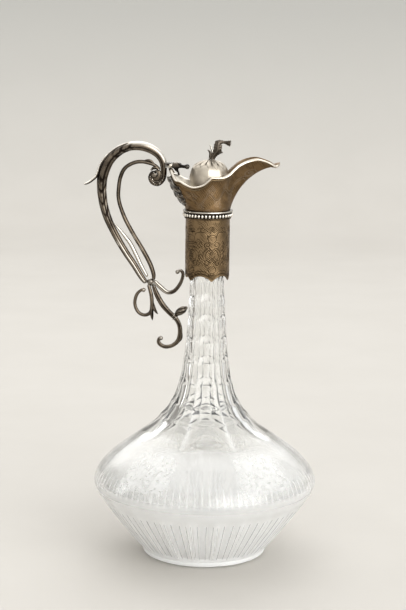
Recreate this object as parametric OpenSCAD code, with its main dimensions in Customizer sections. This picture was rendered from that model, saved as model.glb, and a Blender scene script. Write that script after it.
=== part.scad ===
// Claret jug: a cut-glass decanter with a silver collar, pouring bowl, scroll handle and hinged lid.
// The glass stands on z = 0 with its axis on z. The spout points to +x and the handle to -x.

/* [Glass] */
// Widest radius of the belly
belly_r = 80.2; // [76:0.2:84]
// Height of the widest ring
belly_z = 54; // [52:0.5:56]
// Radius of the neck inside the collar
neck_r = 12.4; // [12:0.1:12.8]
// Radius of the bore in the neck
bore_r = 9.2; // [8.6:0.1:9.6]
// Height of the top of the glass neck
neck_top = 247; // [244:1:250]
// Depth of the ring ridges cut on the neck
ridge_h = 1.1; // [0.6:0.1:1.4]
// Thickness of the glass floor
floor_t = 8.5; // [6:0.5:11]

/* [Collar] */
// Outer radius of the silver sleeve
sleeve_r = 15.7; // [15.3:0.1:16.1]
// Thickness of the silver sheet
sheet = 0.9; // [0.7:0.1:1.1]
// Height of the points of the scalloped lower edge
sleeve_z = 201; // [199:0.5:203]
// Number of scallops round the lower edge
scallops = 6; // [4:1:8]
// Turn of the scallops about the axis, in degrees
scallop_turn = 12; // [0:1:30]
// Number of beads on the band
beads = 42; // [36:1:44]
// Radius of one bead
bead_r = 1.15; // [1:0.05:1.2]

/* [Lid and hinge] */
// Distance of the hinge pin behind the axis
hinge_x = 26.7; // [26.4:0.1:27.2]
// Height of the hinge pin
hinge_z = 281.4; // [281.2:0.1:281.8]
// Radius of the hinge pin
pin_r = 0.8; // [0.6:0.05:0.9]
// Radius of the hinge knuckles
knuckle_r = 1.8; // [1.7:0.05:1.8]
// Width of the middle knuckle and its strap
strap_w = 4; // [3:0.2:4.4]
// Height of the top of the dome
dome_top = 285; // [284.6:0.1:285.4]
// Clearance between the lid and the bowl
lid_gap = 0.65; // [0.55:0.05:0.9]
// Radius of the screw stud in the finial
stud_r = 1; // [0.7:0.05:1.1]

/* [Handle] */
// Scale of the thickness of every strand
strand_k = 1; // [0.92:0.02:1.04]
// Width of the strands across the handle, over their depth
strand_wide = 1.15; // [1:0.05:1.3]

/* [Hidden] */
$fn = 96;

glass_c = [0.86, 0.9, 0.88, 0.5];
silver_c = [0.72, 0.68, 0.6];
patina_c = [0.5, 0.43, 0.34];
bright_c = [0.86, 0.85, 0.82];
dark_c = [0.36, 0.34, 0.31];
plaster_c = [0.88, 0.86, 0.8];

fit = 0.03;
seat_gap = 0.1;
wall = 4;

// ---- Curves and sheets ----

function mix(a, b, t) = a + (b - a) * t;
function unit(v) = v / norm(v);
function spline(p, u) = // a smooth curve through the points p, at u from 0 to len(p) - 1
    let (n = len(p), i = min(floor(u), n - 2), t = u - i,
        a = p[max(i - 1, 0)], b = p[i], c = p[i + 1], d = p[min(i + 2, n - 1)])
    0.5 * (2 * b + (c - a) * t + (2 * a - 5 * b + 4 * c - d) * t * t
        + (3 * b - a - 3 * c + d) * t * t * t);
function bezier(a, b, c, d, t) =
    a * pow(1 - t, 3) + b * 3 * t * pow(1 - t, 2) + c * 3 * t * t * (1 - t) + d * pow(t, 3);
function table(p, x) = // straight-line look-up in a rising list of [x, y]
    let (i = len([for (q = p) if (q[0] <= x) 1]), k = min(max(i, 1), len(p) - 1),
        a = p[k - 1], b = p[k])
    mix(a[1], b[1], (x - a[0]) / (b[0] - a[0]));

// Closed skin over rings of equal length: each ring joins the next, and the last joins the first.
// reversed is true for rings drawn the other way round.
module ring_torus(rings, reversed = false) {
    n = len(rings);
    m = len(rings[0]);
    polyhedron(
        points = [for (r = rings) each r],
        faces = [for (i = [0:n - 1], j = [0:m - 1])
            let (a = i * m + j, b = i * m + (j + 1) % m,
                c = ((i + 1) % n) * m + j, d = ((i + 1) % n) * m + (j + 1) % m)
            each reversed ? [[a, c, b], [b, c, d]] : [[a, b, c], [b, d, c]]]);
}

// Closed skin over rings of equal length, with a point before the first ring and one after the last.
module ring_tube(start, rings, end) {
    n = len(rings);
    m = len(rings[0]);
    polyhedron(
        points = [start, for (r = rings) each r, end],
        faces = [
            for (j = [0:m - 1]) [0, 1 + (j + 1) % m, 1 + j],
            for (i = [0:n - 2], j = [0:m - 1])
                let (a = 1 + i * m + j, b = 1 + i * m + (j + 1) % m, c = a + m, d = b + m)
                each [[a, b, c], [b, d, c]],
            for (j = [0:m - 1])
                [n * m + 1, 1 + (n - 1) * m + j, 1 + (n - 1) * m + (j + 1) % m]
        ]);
}

// A cast strand along hand-placed points [x, z, radius] in the plane of the handle, with rounded ends.
module strand(p, steps = 3, sides = 8, wide = strand_wide) {
    last = len(p) - 1;
    n = last * steps;
    function at(u) = spline(p, u);
    function along(u) =
        let (a = at(max(u - 0.05, 0)), b = at(min(u + 0.05, last))) unit([b[0] - a[0], b[1] - a[1]]);
    function ring(u, back, k) =
        let (c = at(u), t = along(u), r = c[2] * k * strand_k, o = back * c[2] * strand_k)
        [for (j = [0:sides - 1])
            let (a = 360 * (j + 0.5) / sides)
            [c[0] + t[0] * o - t[1] * r * cos(a), r * wide * sin(a), c[1] + t[1] * o + t[0] * r * cos(a)]];
    function tip(u, o) =
        let (c = at(u), t = along(u)) [c[0] + t[0] * o * c[2] * strand_k, 0, c[1] + t[1] * o * c[2] * strand_k];
    ring_tube(
        tip(0, -1),
        [
            ring(0, -0.75, 0.66),
            for (i = [0:n]) ring(i / steps, 0, 1),
            ring(last, 0.75, 0.66)
        ],
        tip(last, 1));
}

// ---- Glass ----

sleeve_in = sleeve_r - sheet;
plaster_t = 2.4;
plaster_z = 206;
grip_r = sleeve_in - plaster_t; // the glass inside the sleeve
ridges = [186.7, 172.3, 156.6, 141.9, 125.8, 110.4];
neck_line = [[104, 28.8], [112, 23.8], [124, 19.6], [140, 16.6], [160, 14.6], [180, 13.3], [196, neck_r]];
panels = 8;
panel_turn = 2.5; // from the near side, in degrees
ring_low = [45.2, 89];
ring_high = [31.9, 100.4];
neck_end = plaster_z - 3;
flutes = 24;
flute_turn = 6.5;
flute_d = 1.5;
flute_low = 4.4;
flute_high = belly_z - 6.5;
flute_low_r = 45.2;
flute_high_r = belly_r - 2.4;
lap = 0.4; // how far the cut parts run into the round body that they meet

foot_line = [[0, 0], [40.7, 0], [44.3, 1.6], [flute_low_r, flute_low], [0, flute_low]];
belly_line = [
    [0, flute_high], [flute_high_r, flute_high], [belly_r, belly_z], [belly_r - 1.8, belly_z + 6],
    [74.3, 66], [68.3, 72], [60.5, 78], [52.5, 84], ring_low, [0, ring_low[1]]
];

// Rows of the fluted lower body: [height, radius, share of the flutes' depth]
flute_rows = [
    [flute_low - lap, flute_low_r - lap, 0], [9, 49.3, 1], [18, 56.8, 1], [26, 63.1, 1], [34, 69.2, 1],
    [41, 74, 0.9], [flute_high + lap, flute_high_r, 0]
];
function flute_ring(row) =
    [for (j = [0:2 * flutes - 1])
        let (a = -90 + flute_turn - 180 * j / flutes, r = row[1] - (j % 2) * flute_d * row[2])
        [r * cos(a), r * sin(a), row[0]]];

corner_out = 0.055; // corners of the panels stand out from the round neck by this share
face_in = 0.04; // and their middles lie inside it by this share
corner_scoop = 0.35; // share of a scoop's depth at the corners

// Rows of the panelled neck: [height, radius, depth of the scoop, share of the eight-sided shape]
neck_rows = [
    [ring_low[1] - lap, ring_low[0] - lap / 2, 0, 0],
    [mix(ring_low[1], ring_high[1], 0.45), mix(ring_low[0], ring_high[0], 0.55), ridge_h / 2, 0.4],
    [ring_high[1], ring_high[0], 0, 0.9],
    [mix(ring_high[1], ridges[len(ridges) - 1], 0.45), 28.2, ridge_h, 1],
    for (i = [len(ridges) - 1:-1:0])
        let (z = ridges[i], up = (i > 0 ? ridges[i - 1] : neck_end), m = mix(z, up, 0.45))
        each [[z, table(neck_line, z), 0, 1], [m, table(neck_line, m), ridge_h, 1]],
    [neck_end + lap, grip_r - lap / 2, 0, 0]
];
function neck_ring(row) = // middles and corners of the panels by turns
    [for (j = [0:2 * panels - 1])
        let (a = -90 + panel_turn - 180 * j / panels, corner = j % 2 == 1,
            r = row[1] * (1 + row[3] * (corner ? corner_out : -face_in))
                - row[2] * (corner ? corner_scoop : 1))
        [r * cos(a), r * sin(a), row[0]]];

inner_line = [
    [0, floor_t], [38, floor_t], [44, floor_t + 2], [47.5, floor_t + 4.8], [51.7, 18], [58, 26],
    [64, 34], [69.5, 42], [belly_r - wall - 3.3, belly_z - 6], [belly_r - wall - 0.6, belly_z],
    [belly_r - wall - 2.8, belly_z + 6], [69.1, 66], [62.2, 72], [53.9, 78], [45.5, 84], [36.3, 90],
    [29.9, 96], [23.4, 104], [19.2, 112], [15.2, 124], [12.2, 140], [10.4, 160], [bore_r + 0.3, 180],
    [bore_r, 200], [bore_r, neck_top], [0, neck_top]
];

module glass_body() {
    color(glass_c)
    difference() {
        union() {
            rotate_extrude()
                polygon(foot_line);
            ring_tube(
                [0, 0, flute_low - lap],
                [for (row = flute_rows) flute_ring(row)],
                [0, 0, flute_high + lap]);
            rotate_extrude()
                polygon(belly_line);
            ring_tube(
                [0, 0, ring_low[1] - lap],
                [for (row = neck_rows) neck_ring(row)],
                [0, 0, neck_end + lap]);
            rotate_extrude()
                polygon([[0, neck_end], [grip_r, neck_end], [grip_r, neck_top - 1],
                    [grip_r - 1, neck_top], [0, neck_top]]);
        }
        rotate_extrude()
            polygon(concat(inner_line, [[0, neck_top + 1]]));
        translate([0, 0, neck_top - 1])
            cylinder(r = bore_r, h = 2);
    }
}

// ---- Collar ----

collar_z = neck_top;
collar_t = 1.4;
bowl_z = collar_z + collar_t;
bowl_foot_r = sleeve_r - 0.4;
reed_h = 1.2;
band_h = 3;
band_z = bowl_z - band_h;
reed_z = band_z - reed_h - 0.1;
wire_h = 2;
wire_in = bowl_foot_r + 0.7;

module tube(r_out, r_in, h) {
    difference() {
        cylinder(r = r_out, h = h);
        translate([0, 0, -1])
            cylinder(r = r_in, h = h + 2);
    }
}

module plaster_bed() {
    color(plaster_c)
    translate([0, 0, plaster_z])
        tube(sleeve_in, grip_r, neck_top - 1 - plaster_z);
}

scallop_rise = 3.6;
scallop_half = sleeve_r * sin(180 / scallops) - 0.5;
scallop_cut = (pow(scallop_half, 2) + pow(scallop_rise, 2)) / (2 * scallop_rise);

module neck_sleeve() {
    color(patina_c)
    difference() {
        translate([0, 0, sleeve_z])
            tube(sleeve_r, sleeve_in, collar_z - sleeve_z);
        for (k = [0:scallops - 1])
            rotate([0, 0, -90 + scallop_turn + (k + 0.5) * 360 / scallops])
                translate([0, 0, sleeve_z + scallop_rise - scallop_cut])
                    rotate([0, 90, 0])
                        cylinder(r = scallop_cut, h = 2 * sleeve_r);
    }
}

// A ring with a half-round outside face.
module half_round_ring(r_in, r_flat, h, z) {
    translate([0, 0, z])
    rotate_extrude() {
        translate([r_in, 0])
            square([r_flat - r_in, h]);
        intersection() {
            translate([r_flat, h / 2])
                circle(d = h, $fn = 48);
            translate([r_flat, 0])
                square([h, h]);
        }
    }
}

module sleeve_reed() {
    color(silver_c)
    half_round_ring(sleeve_r, sleeve_r + 0.3, reed_h, reed_z);
}

module bead_band() {
    ring_r = sleeve_r + 0.8;
    color(bright_c)
    union() {
        translate([0, 0, band_z])
            tube(ring_r, sleeve_r, band_h);
        for (k = [0:beads - 1])
            rotate([0, 0, k * 360 / beads])
                translate([sleeve_r + bead_r + 0.05, 0, band_z + band_h / 2])
                    sphere(r = bead_r, $fn = 24);
    }
}

module band_wire() {
    color(silver_c)
    half_round_ring(wire_in, wire_in + 0.75, wire_h, bowl_z);
}

module pouring_collar() {
    dip = 11;
    color(silver_c)
    difference() {
        union() {
            translate([0, 0, collar_z])
                cylinder(r = sleeve_r, h = collar_t);
            translate([0, 0, collar_z - dip])
                cylinder(r = bore_r - seat_gap, h = dip + 0.2);
        }
        translate([0, 0, collar_z - dip - 1])
            cylinder(r = bore_r - seat_gap - sheet, h = dip + collar_t + 2);
    }
}

// ---- Pouring bowl ----

// Rim of the bowl, from the hinge round the near side to the lip:
// [x, half width, height, angle of the rib's foot, lean of the rib's end from upright]
rim_points = [
    [-26.9, 0, 278.6, 180, 3],
    [-26.5, 4.6, 278.3, 167, 4],
    [-25.1, 8.8, 275.4, 157, 8],
    [-22.6, 12.2, 271.3, 148, 14],
    [-19.2, 14.4, 270.6, 140, 18],
    [-15.6, 16, 268.7, 131, 22],
    [-10.2, 17.4, 267, 119, 25],
    [-4, 17.9, 268.4, 102, 26],
    [0, 17.7, 271.6, 91, 25],
    [2.4, 17.2, 273.7, 83, 24],
    [6.2, 16.3, 273.7, 71, 28],
    [10.4, 15, 274, 58, 34],
    [14.3, 13.4, 275.9, 46, 42],
    [18, 11.8, 279.4, 37, 48],
    [22, 10.4, 282.7, 29, 54],
    [27.6, 8.7, 285.3, 21, 61],
    [33.4, 7.4, 286.4, 15.5, 67],
    [38.6, 6.6, 285.4, 11.5, 73],
    [43, 6, 283.7, 8, 80],
    [46.6, 4.6, 281.6, 5, 84],
    [48.9, 2.4, 282.3, 2.5, 80],
    [49.6, 0, 283.2, 0, 78]
];
rim_last = len(rim_points) - 1;
rim_steps = 2;
rim_n = 2 * rim_last * rim_steps;
rib_rows = 9;
band_drop = 2.4;

function flip(p) = [p[0], -p[1], p[2], 2 * 180 - p[3], p[4]];
function rim_ctl(i) = i < 0 ? flip(rim_points[-i]) : i > rim_last
    ? let (p = rim_points[2 * rim_last - i]) [p[0], -p[1], p[2], -p[3], p[4]] : rim_points[i];
function rim_half(u) =
    let (i = min(floor(u), rim_last - 1), t = u - i)
    spline([rim_ctl(i - 1), rim_ctl(i), rim_ctl(i + 1), rim_ctl(i + 2)], 1 + t);
// Station k runs round the whole rim: 0 at the hinge, rim_n / 2 at the lip, near side first.
function rim_at(k) =
    let (q = (k + rim_n) % rim_n, near = q <= rim_n / 2, u = (near ? q : rim_n - q) / rim_steps,
        p = rim_half(u))
    near ? [p[0], -p[1], p[2], -p[3], p[4]] : p;
// The near side lies at negative y, so the foot angle is measured clockwise there.
function rib(k) =
    let (c = rim_at(k),
        foot = [bowl_foot_r * cos(c[3]), bowl_foot_r * sin(c[3]), bowl_z],
        top = [c[0], c[1], c[2]], span = norm(top - foot),
        side = unit([top[0] - foot[0], top[1] - foot[1], 0]),
        out = [cos(c[3]), sin(c[3]), 0])
    [foot, foot + span * 0.33 * unit(out * 0.2 + [0, 0, 1]),
        top - span * mix(0.3, 0.42, sin(c[4])) * (side * sin(c[4]) + [0, 0, cos(c[4])]), top];
function rib_s(k, j) = // rows are even up to the rim band, whose height is band_drop
    let (r = rib(k), s_band = 1 - band_drop / (3 * norm(r[3] - r[2])) * 1.02)
    j >= rib_rows ? 1 : s_band * j / (rib_rows - 1);
function bowl_pt(k, s) = let (r = rib(k)) bezier(r[0], r[1], r[2], r[3], s);
function bowl_normal(k, s) = // points out of the bowl
    let (a = bowl_pt(k - 0.5, s), b = bowl_pt(k + 0.5, s),
        c = bowl_pt(k, max(s - 0.04, 0)), d = bowl_pt(k, min(s + 0.04, 1)))
    unit(cross(b - a, d - c));
function inside_pt(k, s, t) =
    let (p = bowl_pt(k, s) - t * bowl_normal(k, s))
    s == 0 ? [p[0], p[1], bowl_z] : p;

module spout_bowl() {
    color(patina_c)
    ring_torus([for (k = [0:rim_n - 1]) [
        for (j = [0:rib_rows]) bowl_pt(k, rib_s(k, j)),
        for (j = [rib_rows:-1:0]) inside_pt(k, rib_s(k, j), sheet)
    ]]);
}

// Section of the applied moulding: [along the rib, out from the wall]. It hooks over the bare edge.
moulding = [
    [0.2, -sheet - 0.12], [0.8, -0.75], [0.85, 0.45], [0.35, 1.05], [-0.45, 0.95], [-0.95, 0.34],
    [-1.25, 0.62], [-band_drop, 0.5]
];

module rim_moulding() {
    color(bright_c)
    ring_torus([for (k = [0:rim_n - 1])
        let (n = bowl_normal(k, 1), r = rib(k), e = unit(r[3] - r[2]), top = r[3])
        [
            top, inside_pt(k, 1, sheet),
            for (q = moulding) top + q[0] * e + q[1] * n,
            bowl_pt(k, rib_s(k, rib_rows - 1))
        ]], reversed = true);
}

// Cast leaf that carries the handle on the back of the bowl.
leaf_reach = 7;
leaf_low = 0.16;

module mount_leaf() {
    function thick(a, s) = // thickest on the centre line, thin at the edges and the lower tip
        0.5 + 2.9 * pow(cos(90 * a), 0.8) * pow(sin(90 * min(1, (s - leaf_low) * 3.2 + 0.08)), 0.9);
    function reach(s) = leaf_reach * pow(sin(min(90, 20 + (s - leaf_low) * 260)), 0.8);
    function on_bowl(a, s, out) =
        let (k = a * reach(s)) bowl_pt(k, s) + bowl_normal(k, s) * out;
    color(dark_c)
    let (rows = 7, top_s = 0.86, cells = 6, middle_s = (leaf_low + top_s) / 2)
    ring_tube(
        on_bowl(-1.01, middle_s, 0.3),
        [for (ring = [-cells:cells])
            let (a = ring / cells)
            [
                for (j = [0:rows])
                    let (s = mix(leaf_low, top_s, j / rows))
                    on_bowl(a, s, thick(abs(a) * 0.98, s) + 0.02),
                for (j = [rows:-1:0])
                    on_bowl(a, mix(leaf_low, top_s, j / rows), 0.06)
            ]],
        on_bowl(1.01, middle_s, 0.3));
}

// ---- Handle ----

main_points = [
    [-44.4, 198.6, 1.9], [-47.2, 202.4, 2.2], [-52.1, 210.4, 2.4], [-57.4, 218.2, 2.5],
    [-62.6, 226.8, 2.6], [-67.4, 235.8, 2.7], [-71.3, 244.8, 3], [-73.8, 254, 3.2],
    [-74.9, 264, 3.5], [-74.1, 273.6, 3.9], [-70, 283.8, 3.9], [-63.6, 290.3, 3.6],
    [-56.6, 293.7, 3.3], [-49.6, 294.5, 3.3], [-42.4, 293, 3.2], [-36, 289.2, 2.9],
    [-32.4, 284, 2.6], [-31.5, 277.6, 2.3], [-32.2, 271.8, 2.2], [-35.2, 268.5, 2.1],
    [-38.9, 269.2, 2], [-40.6, 272.4, 1.8], [-39.2, 275.4, 1.7], [-36.9, 274.9, 1.9]
];
spur_points = [
    [-78.3, 273.4, 0.6], [-80.4, 271.6, 0.9], [-83.2, 269.3, 0.9], [-86, 267.7, 0.7], [-87.5, 267.5, 0.4]
];
inner_points = [
    [-34.9, 278.9, 0.9], [-38.5, 281.5, 1.2], [-46.4, 283.5, 1.4], [-52.7, 282.6, 1.4],
    [-58.7, 278.8, 1.4], [-61.9, 272.3, 1.4], [-63.1, 264.6, 1.4], [-63.2, 257.6, 1.4],
    [-61.4, 250.4, 1.4], [-57.9, 241.8, 1.5], [-52.2, 231.4, 1.5], [-45.9, 221, 1.6],
    [-40.6, 211, 1.6], [-38.2, 204, 1.5], [-38, 200.7, 1.3]
];
strip_points = [
    [-66, 239.4, 0.4], [-63.2, 236.2, 1], [-58.9, 231, 1.4], [-54.6, 225.2, 1.6],
    [-50.8, 217.8, 1.6], [-47, 209.8, 1.5], [-43, 202.6, 1.2]
];
hook_points = [
    [-37, 198, 1.5], [-33.3, 194.4, 1.8], [-28.2, 190.6, 1.6], [-23.6, 191.4, 1.5],
    [-20, 195.3, 1.4], [-17.8, 200, 1.3], [-17.2, 204.2, 1.3], [-18.9, 206.4, 1.2],
    [-21, 205.4, 1.3]
];
scroll_points = [
    [-38, 194.7, 1.5], [-35.3, 188.2, 2], [-31.2, 181.2, 2.1], [-26.4, 175.8, 1.9], [-22.3, 172, 1.8],
    [-19.6, 167.4, 1.7], [-18.8, 161.6, 1.8], [-20.2, 155.6, 1.7], [-24.6, 151.8, 1.5],
    [-30, 151.1, 1.5], [-33.8, 153.5, 1.5], [-34, 156.5, 1.2], [-32.4, 157.4, 1.3]
];
bud_points = [
    [-22.1, 174.6, 1.2], [-20.6, 175.6, 2.2], [-18.5, 177, 2.8], [-16.4, 178.4, 2.6],
    [-14.8, 179.4, 1.3]
];
loop_points = [
    [-41.4, 195, 1.3], [-39.6, 188.2, 1.5], [-39.1, 180.6, 1.5], [-40.4, 175.6, 1.4],
    [-44.5, 173.9, 1.3], [-49, 176.2, 1.3], [-51.3, 182, 1.3], [-50.2, 188.2, 1.3],
    [-47.4, 191.5, 1.1], [-45.3, 192.2, 1.4]
];
knot_c = [-40.3, 198];
knot_r = 2.5;

module handle_main_scroll() {
    color(dark_c) strand(main_points, steps = 2, sides = 10);
}

module handle_thumb_spur() {
    color(dark_c) strand(spur_points, wide = 2.6);
}

module handle_inner_scroll() {
    color(dark_c) strand(inner_points, steps = 2);
}

module handle_leaf_strip() {
    color(silver_c) strand(strip_points, steps = 2);
}

module handle_knot() {
    color(silver_c)
    translate([knot_c[0], 0, knot_c[1]])
        sphere(r = knot_r, $fn = 48);
}

module handle_sleeve_hook() {
    color(silver_c) strand(hook_points, steps = 2);
}

module handle_lower_scroll() {
    color(dark_c) strand(scroll_points, steps = 2);
}

module handle_rest_bud() {
    color(dark_c) strand(bud_points);
}

module handle_back_loop() {
    color(dark_c) strand(loop_points, steps = 2);
}

// ---- Hinge ----

lug_in = strap_w / 2 + 0.15;
lug_out = lug_in + 2.8;
lug_back = 3.4;
pin_head = 1.25;

module across(y, w) { // lays an outline drawn in x and z on a slice w wide from y
    translate([0, y + w, 0])
        rotate([90, 0, 0])
            linear_extrude(w)
                children();
}

module cross_pin(x, z, r, y, w) { // a round bar along y, w long from y
    translate([x, y + w, z])
        rotate([90, 0, 0])
            cylinder(r = r, h = w);
}

module hinge_lugs() {
    color(dark_c)
    difference() {
        for (y = [-lug_out, lug_in])
            union() {
                cross_pin(-hinge_x, hinge_z, knuckle_r, y, lug_out - lug_in);
                translate([-hinge_x - lug_back, y, hinge_z - knuckle_r])
                    cube([lug_back, lug_out - lug_in, 2 * knuckle_r]);
            }
        cross_pin(-hinge_x, hinge_z, pin_r + fit, -lug_out - 1, 2 * lug_out + 2);
    }
}

module hinge_pin() {
    head_t = 0.8;
    reach = lug_out + seat_gap;
    color(bright_c)
    union() {
        cross_pin(-hinge_x, hinge_z, pin_r, -reach, 2 * reach);
        for (y = [-reach - head_t, reach])
            cross_pin(-hinge_x, hinge_z, pin_head, y, head_t);
    }
}

// ---- Lid ----

lid_x = 1.4;
lid_t = 0.8;
lid_base_r = 14.6;
lid_rim_w = 0.9;
lid_tuck = 0.15;
lid_half = 18;
lid_turn_k = 22;
lid_front_x = 15.6;
lid_edge_s = 0.9;
lid_front_z = 273.6;
lid_valley = 5.6;
dome_line = [
    [stud_r + 0.15, dome_top], [4, dome_top - 0.2], [7.5, dome_top - 1.2], [10.6, dome_top - 2.9],
    [12.9, dome_top - 5.4], [14, dome_top - 8.4]
];

// Edge of the lid, station i from the hinge (0) to the front (lid_half), near side.
// It runs just inside the bowl, then crosses the spout in a rounded front.
function lid_edge_half(i) =
    let (wall_n = 13, k = lid_turn_k * min(i, wall_n) / wall_n,
        w = inside_pt(k, lid_edge_s, sheet + lid_gap))
    i <= wall_n ? w
        : let (f = 90 * (i - wall_n) / (lid_half - wall_n))
            [mix(w[0], lid_front_x, sin(f)), w[1] * cos(f) * (1 - lid_tuck * sin(2 * f)),
                mix(w[2], lid_front_z, sin(f))];
function lid_edge(i) =
    let (n = 2 * lid_half, q = (i + n) % n, near = q <= lid_half,
        p = lid_edge_half(near ? q : n - q))
    near ? p : [p[0], -p[1], p[2]];
function lid_column(i, drop) =
    let (e = lid_edge(i), arm = [e[0] - lid_x, e[1], 0], d = unit(arm),
        fit_k = min(1, (norm(arm) - lid_rim_w) / lid_base_r),
        base = e[2] + 0.6 - lid_valley * pow(max(0, -d[0]), 4),
        brow = dome_line[len(dome_line) - 1][1])
    [
        for (q = dome_line)
            [lid_x, 0, 0] + d * fit_k * (q[0] - (q == dome_line[0] ? 0 : drop * (q[0] > 12 ? 1 : 0.3)))
                + [0, 0, q[1] - (q[0] > 13 ? 0.3 : 1) * drop],
        [lid_x, 0, 0] + d * (fit_k * lid_base_r - drop) + [0, 0, (brow + base) / 2 - 0.2 * drop],
        [lid_x, 0, 0] + d * (fit_k * lid_base_r + 0.1 - 0.6 * drop) + [0, 0, base - 0.8 * drop],
        [e[0], e[1], e[2] - drop]
    ];

module lid_cover() {
    color(bright_c)
    ring_torus([for (i = [0:2 * lid_half - 1])
        let (up = lid_column(i, 0), low = lid_column(i, lid_t))
        [each low, for (j = [len(up) - 1:-1:0]) up[j]]]);
}

strap_end = [-14.9, 280.4];
strap_end_r = 1.7;

module lid_strap() {
    color(dark_c)
    difference() {
        union() {
            cross_pin(-hinge_x, hinge_z, knuckle_r, -strap_w / 2, strap_w);
            across(-strap_w / 2, strap_w)
                polygon([
                    [0.4 - hinge_x, hinge_z + 1.7], [-22.2, 283.5], [-19.4, 282], [-17, 281.4],
                    [-15.2, 281.6], [-15.2, 279.4], [-16.6, 279.2], [-19.2, 279.6], [-21.4, 279.4],
                    [-20.4, 275.6], [-23.6, 277.7], [-24.7, hinge_z - 1.6], [0.4 - hinge_x, hinge_z - 1.4]
                ]);
            cross_pin(strap_end[0], strap_end[1], strap_end_r, -strap_w / 2, strap_w);
        }
        cross_pin(-hinge_x, hinge_z, pin_r + 0.05, -strap_w, 2 * strap_w);
    }
}

// ---- Finial ----

finial_x = lid_x;
finial_z = dome_top;
finial_t = 3.4;
finial_line = [
    [-0.8, 285.1], [4.6, 285.1], [5.4, 288], [9.8, 290.4], [8.6, 292], [8.8, 294.6], [11.2, 296.4],
    [14.3, 295.2], [15.9, 299.8], [11.3, 298.6], [7.9, 299], [5.4, 300], [3.6, 296.6], [3.2, 294],
    [0.6, 292], [0.9, 289.6]
];

module finial() {
    color(dark_c)
    difference() {
        across(-finial_t / 2, finial_t)
            polygon(finial_line);
        translate([finial_x, 0, finial_z - 1])
            cylinder(r = stud_r, h = 4.5);
    }
}

module finial_stud() {
    color(silver_c)
    translate([finial_x, 0, finial_z - 4])
        cylinder(r = stud_r - 0.02, h = 7.4);
}

module finial_washer() {
    color(silver_c)
    translate([finial_x, 0, finial_z - lid_t - 0.9])
        tube(2.8, stud_r, 0.7);
}

module finial_nut() {
    color(silver_c)
    translate([finial_x, 0, finial_z - lid_t - 2.5])
        difference() {
            cylinder(r = 2.1, h = 1.5, $fn = 6);
            translate([0, 0, -1])
                cylinder(r = stud_r, h = 4);
        }
}

glass_body();
plaster_bed();
neck_sleeve();
sleeve_reed();
bead_band();
band_wire();
pouring_collar();
spout_bowl();
rim_moulding();
mount_leaf();
hinge_lugs();
hinge_pin();
handle_main_scroll();
handle_thumb_spur();
handle_inner_scroll();
handle_leaf_strip();
handle_knot();
handle_sleeve_hook();
handle_lower_scroll();
handle_rest_bud();
handle_back_loop();
lid_cover();
lid_strap();
finial();
finial_stud();
finial_washer();
finial_nut();
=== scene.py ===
# Claret jug: detailed pieces, materials, light and camera round the CAD frame.
# Shapes are worked out in millimetres and written to the meshes in metres.
from math import atan2, cos, floor, pi, radians, sin, sqrt

import bmesh
import bpy
import numpy as np
from mathutils import Matrix


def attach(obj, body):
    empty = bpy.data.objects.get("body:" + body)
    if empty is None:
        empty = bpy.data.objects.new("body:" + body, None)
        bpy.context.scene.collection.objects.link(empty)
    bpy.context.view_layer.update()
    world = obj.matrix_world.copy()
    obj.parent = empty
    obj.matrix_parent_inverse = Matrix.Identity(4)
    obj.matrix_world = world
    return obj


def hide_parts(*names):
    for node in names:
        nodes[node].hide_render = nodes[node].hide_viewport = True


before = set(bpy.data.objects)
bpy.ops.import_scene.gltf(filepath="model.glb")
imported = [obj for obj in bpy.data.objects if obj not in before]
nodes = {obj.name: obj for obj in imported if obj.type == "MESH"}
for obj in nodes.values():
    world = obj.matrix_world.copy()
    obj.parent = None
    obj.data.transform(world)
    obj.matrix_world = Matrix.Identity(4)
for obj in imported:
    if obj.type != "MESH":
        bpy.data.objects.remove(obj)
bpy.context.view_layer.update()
MM = 0.001
FRONT = -pi / 2  # the direction of the near side, as an angle about the axis


# ---- Curves ----

def mix(a, b, t):
    return a + (b - a) * t


def unit(v):
    v = np.asarray(v, float)
    return v / np.linalg.norm(v, axis=-1, keepdims=True)


def smooth(lo, hi, x):
    t = np.clip((np.asarray(x, float) - lo) / (hi - lo), 0, 1)
    return t * t * (3 - 2 * t)


def bell(x, width):
    return np.exp(-(x / width) ** 2)


def spline_at(p, u):
    """A smooth curve through the points p, at u from 0 to len(p) - 1."""
    n = len(p)
    i = int(min(max(floor(u), 0), n - 2))
    t = u - i
    a, b, c, d = (np.asarray(p[k], float) for k in (max(i - 1, 0), i, i + 1, min(i + 2, n - 1)))
    return 0.5 * (2 * b + (c - a) * t + (2 * a - 5 * b + 4 * c - d) * t * t
                  + (3 * b - a - 3 * c + d) * t ** 3)


def spline(p, steps):
    return np.array([spline_at(p, k / steps) for k in range((len(p) - 1) * steps + 1)])


def profile(points):
    """A smooth function through rising (x, y) pairs that never overshoots them."""
    x, y = (np.array(q, float) for q in zip(*points))
    h = np.diff(x)
    slope = np.diff(y) / h
    m = np.zeros(len(x))
    m[0], m[-1] = slope[0], slope[-1]
    for k in range(1, len(x) - 1):
        if slope[k - 1] * slope[k] > 0:
            w = 2 * h[k] + h[k - 1], h[k] + 2 * h[k - 1]
            m[k] = sum(w) / (w[0] / slope[k - 1] + w[1] / slope[k])

    def at(q):
        q = np.clip(np.asarray(q, float), x[0], x[-1])
        k = np.clip(np.searchsorted(x, q) - 1, 0, len(x) - 2)
        t = (q - x[k]) / h[k]
        return (y[k] * (1 + 2 * t) * (1 - t) ** 2 + m[k] * h[k] * t * (1 - t) ** 2
                + y[k + 1] * t * t * (3 - 2 * t) + m[k + 1] * h[k] * t * t * (t - 1))
    return at


# ---- Meshes ----

def add_object(name, data):
    obj = bpy.data.objects.new(name, data)
    bpy.context.scene.collection.objects.link(obj)
    return obj


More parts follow.
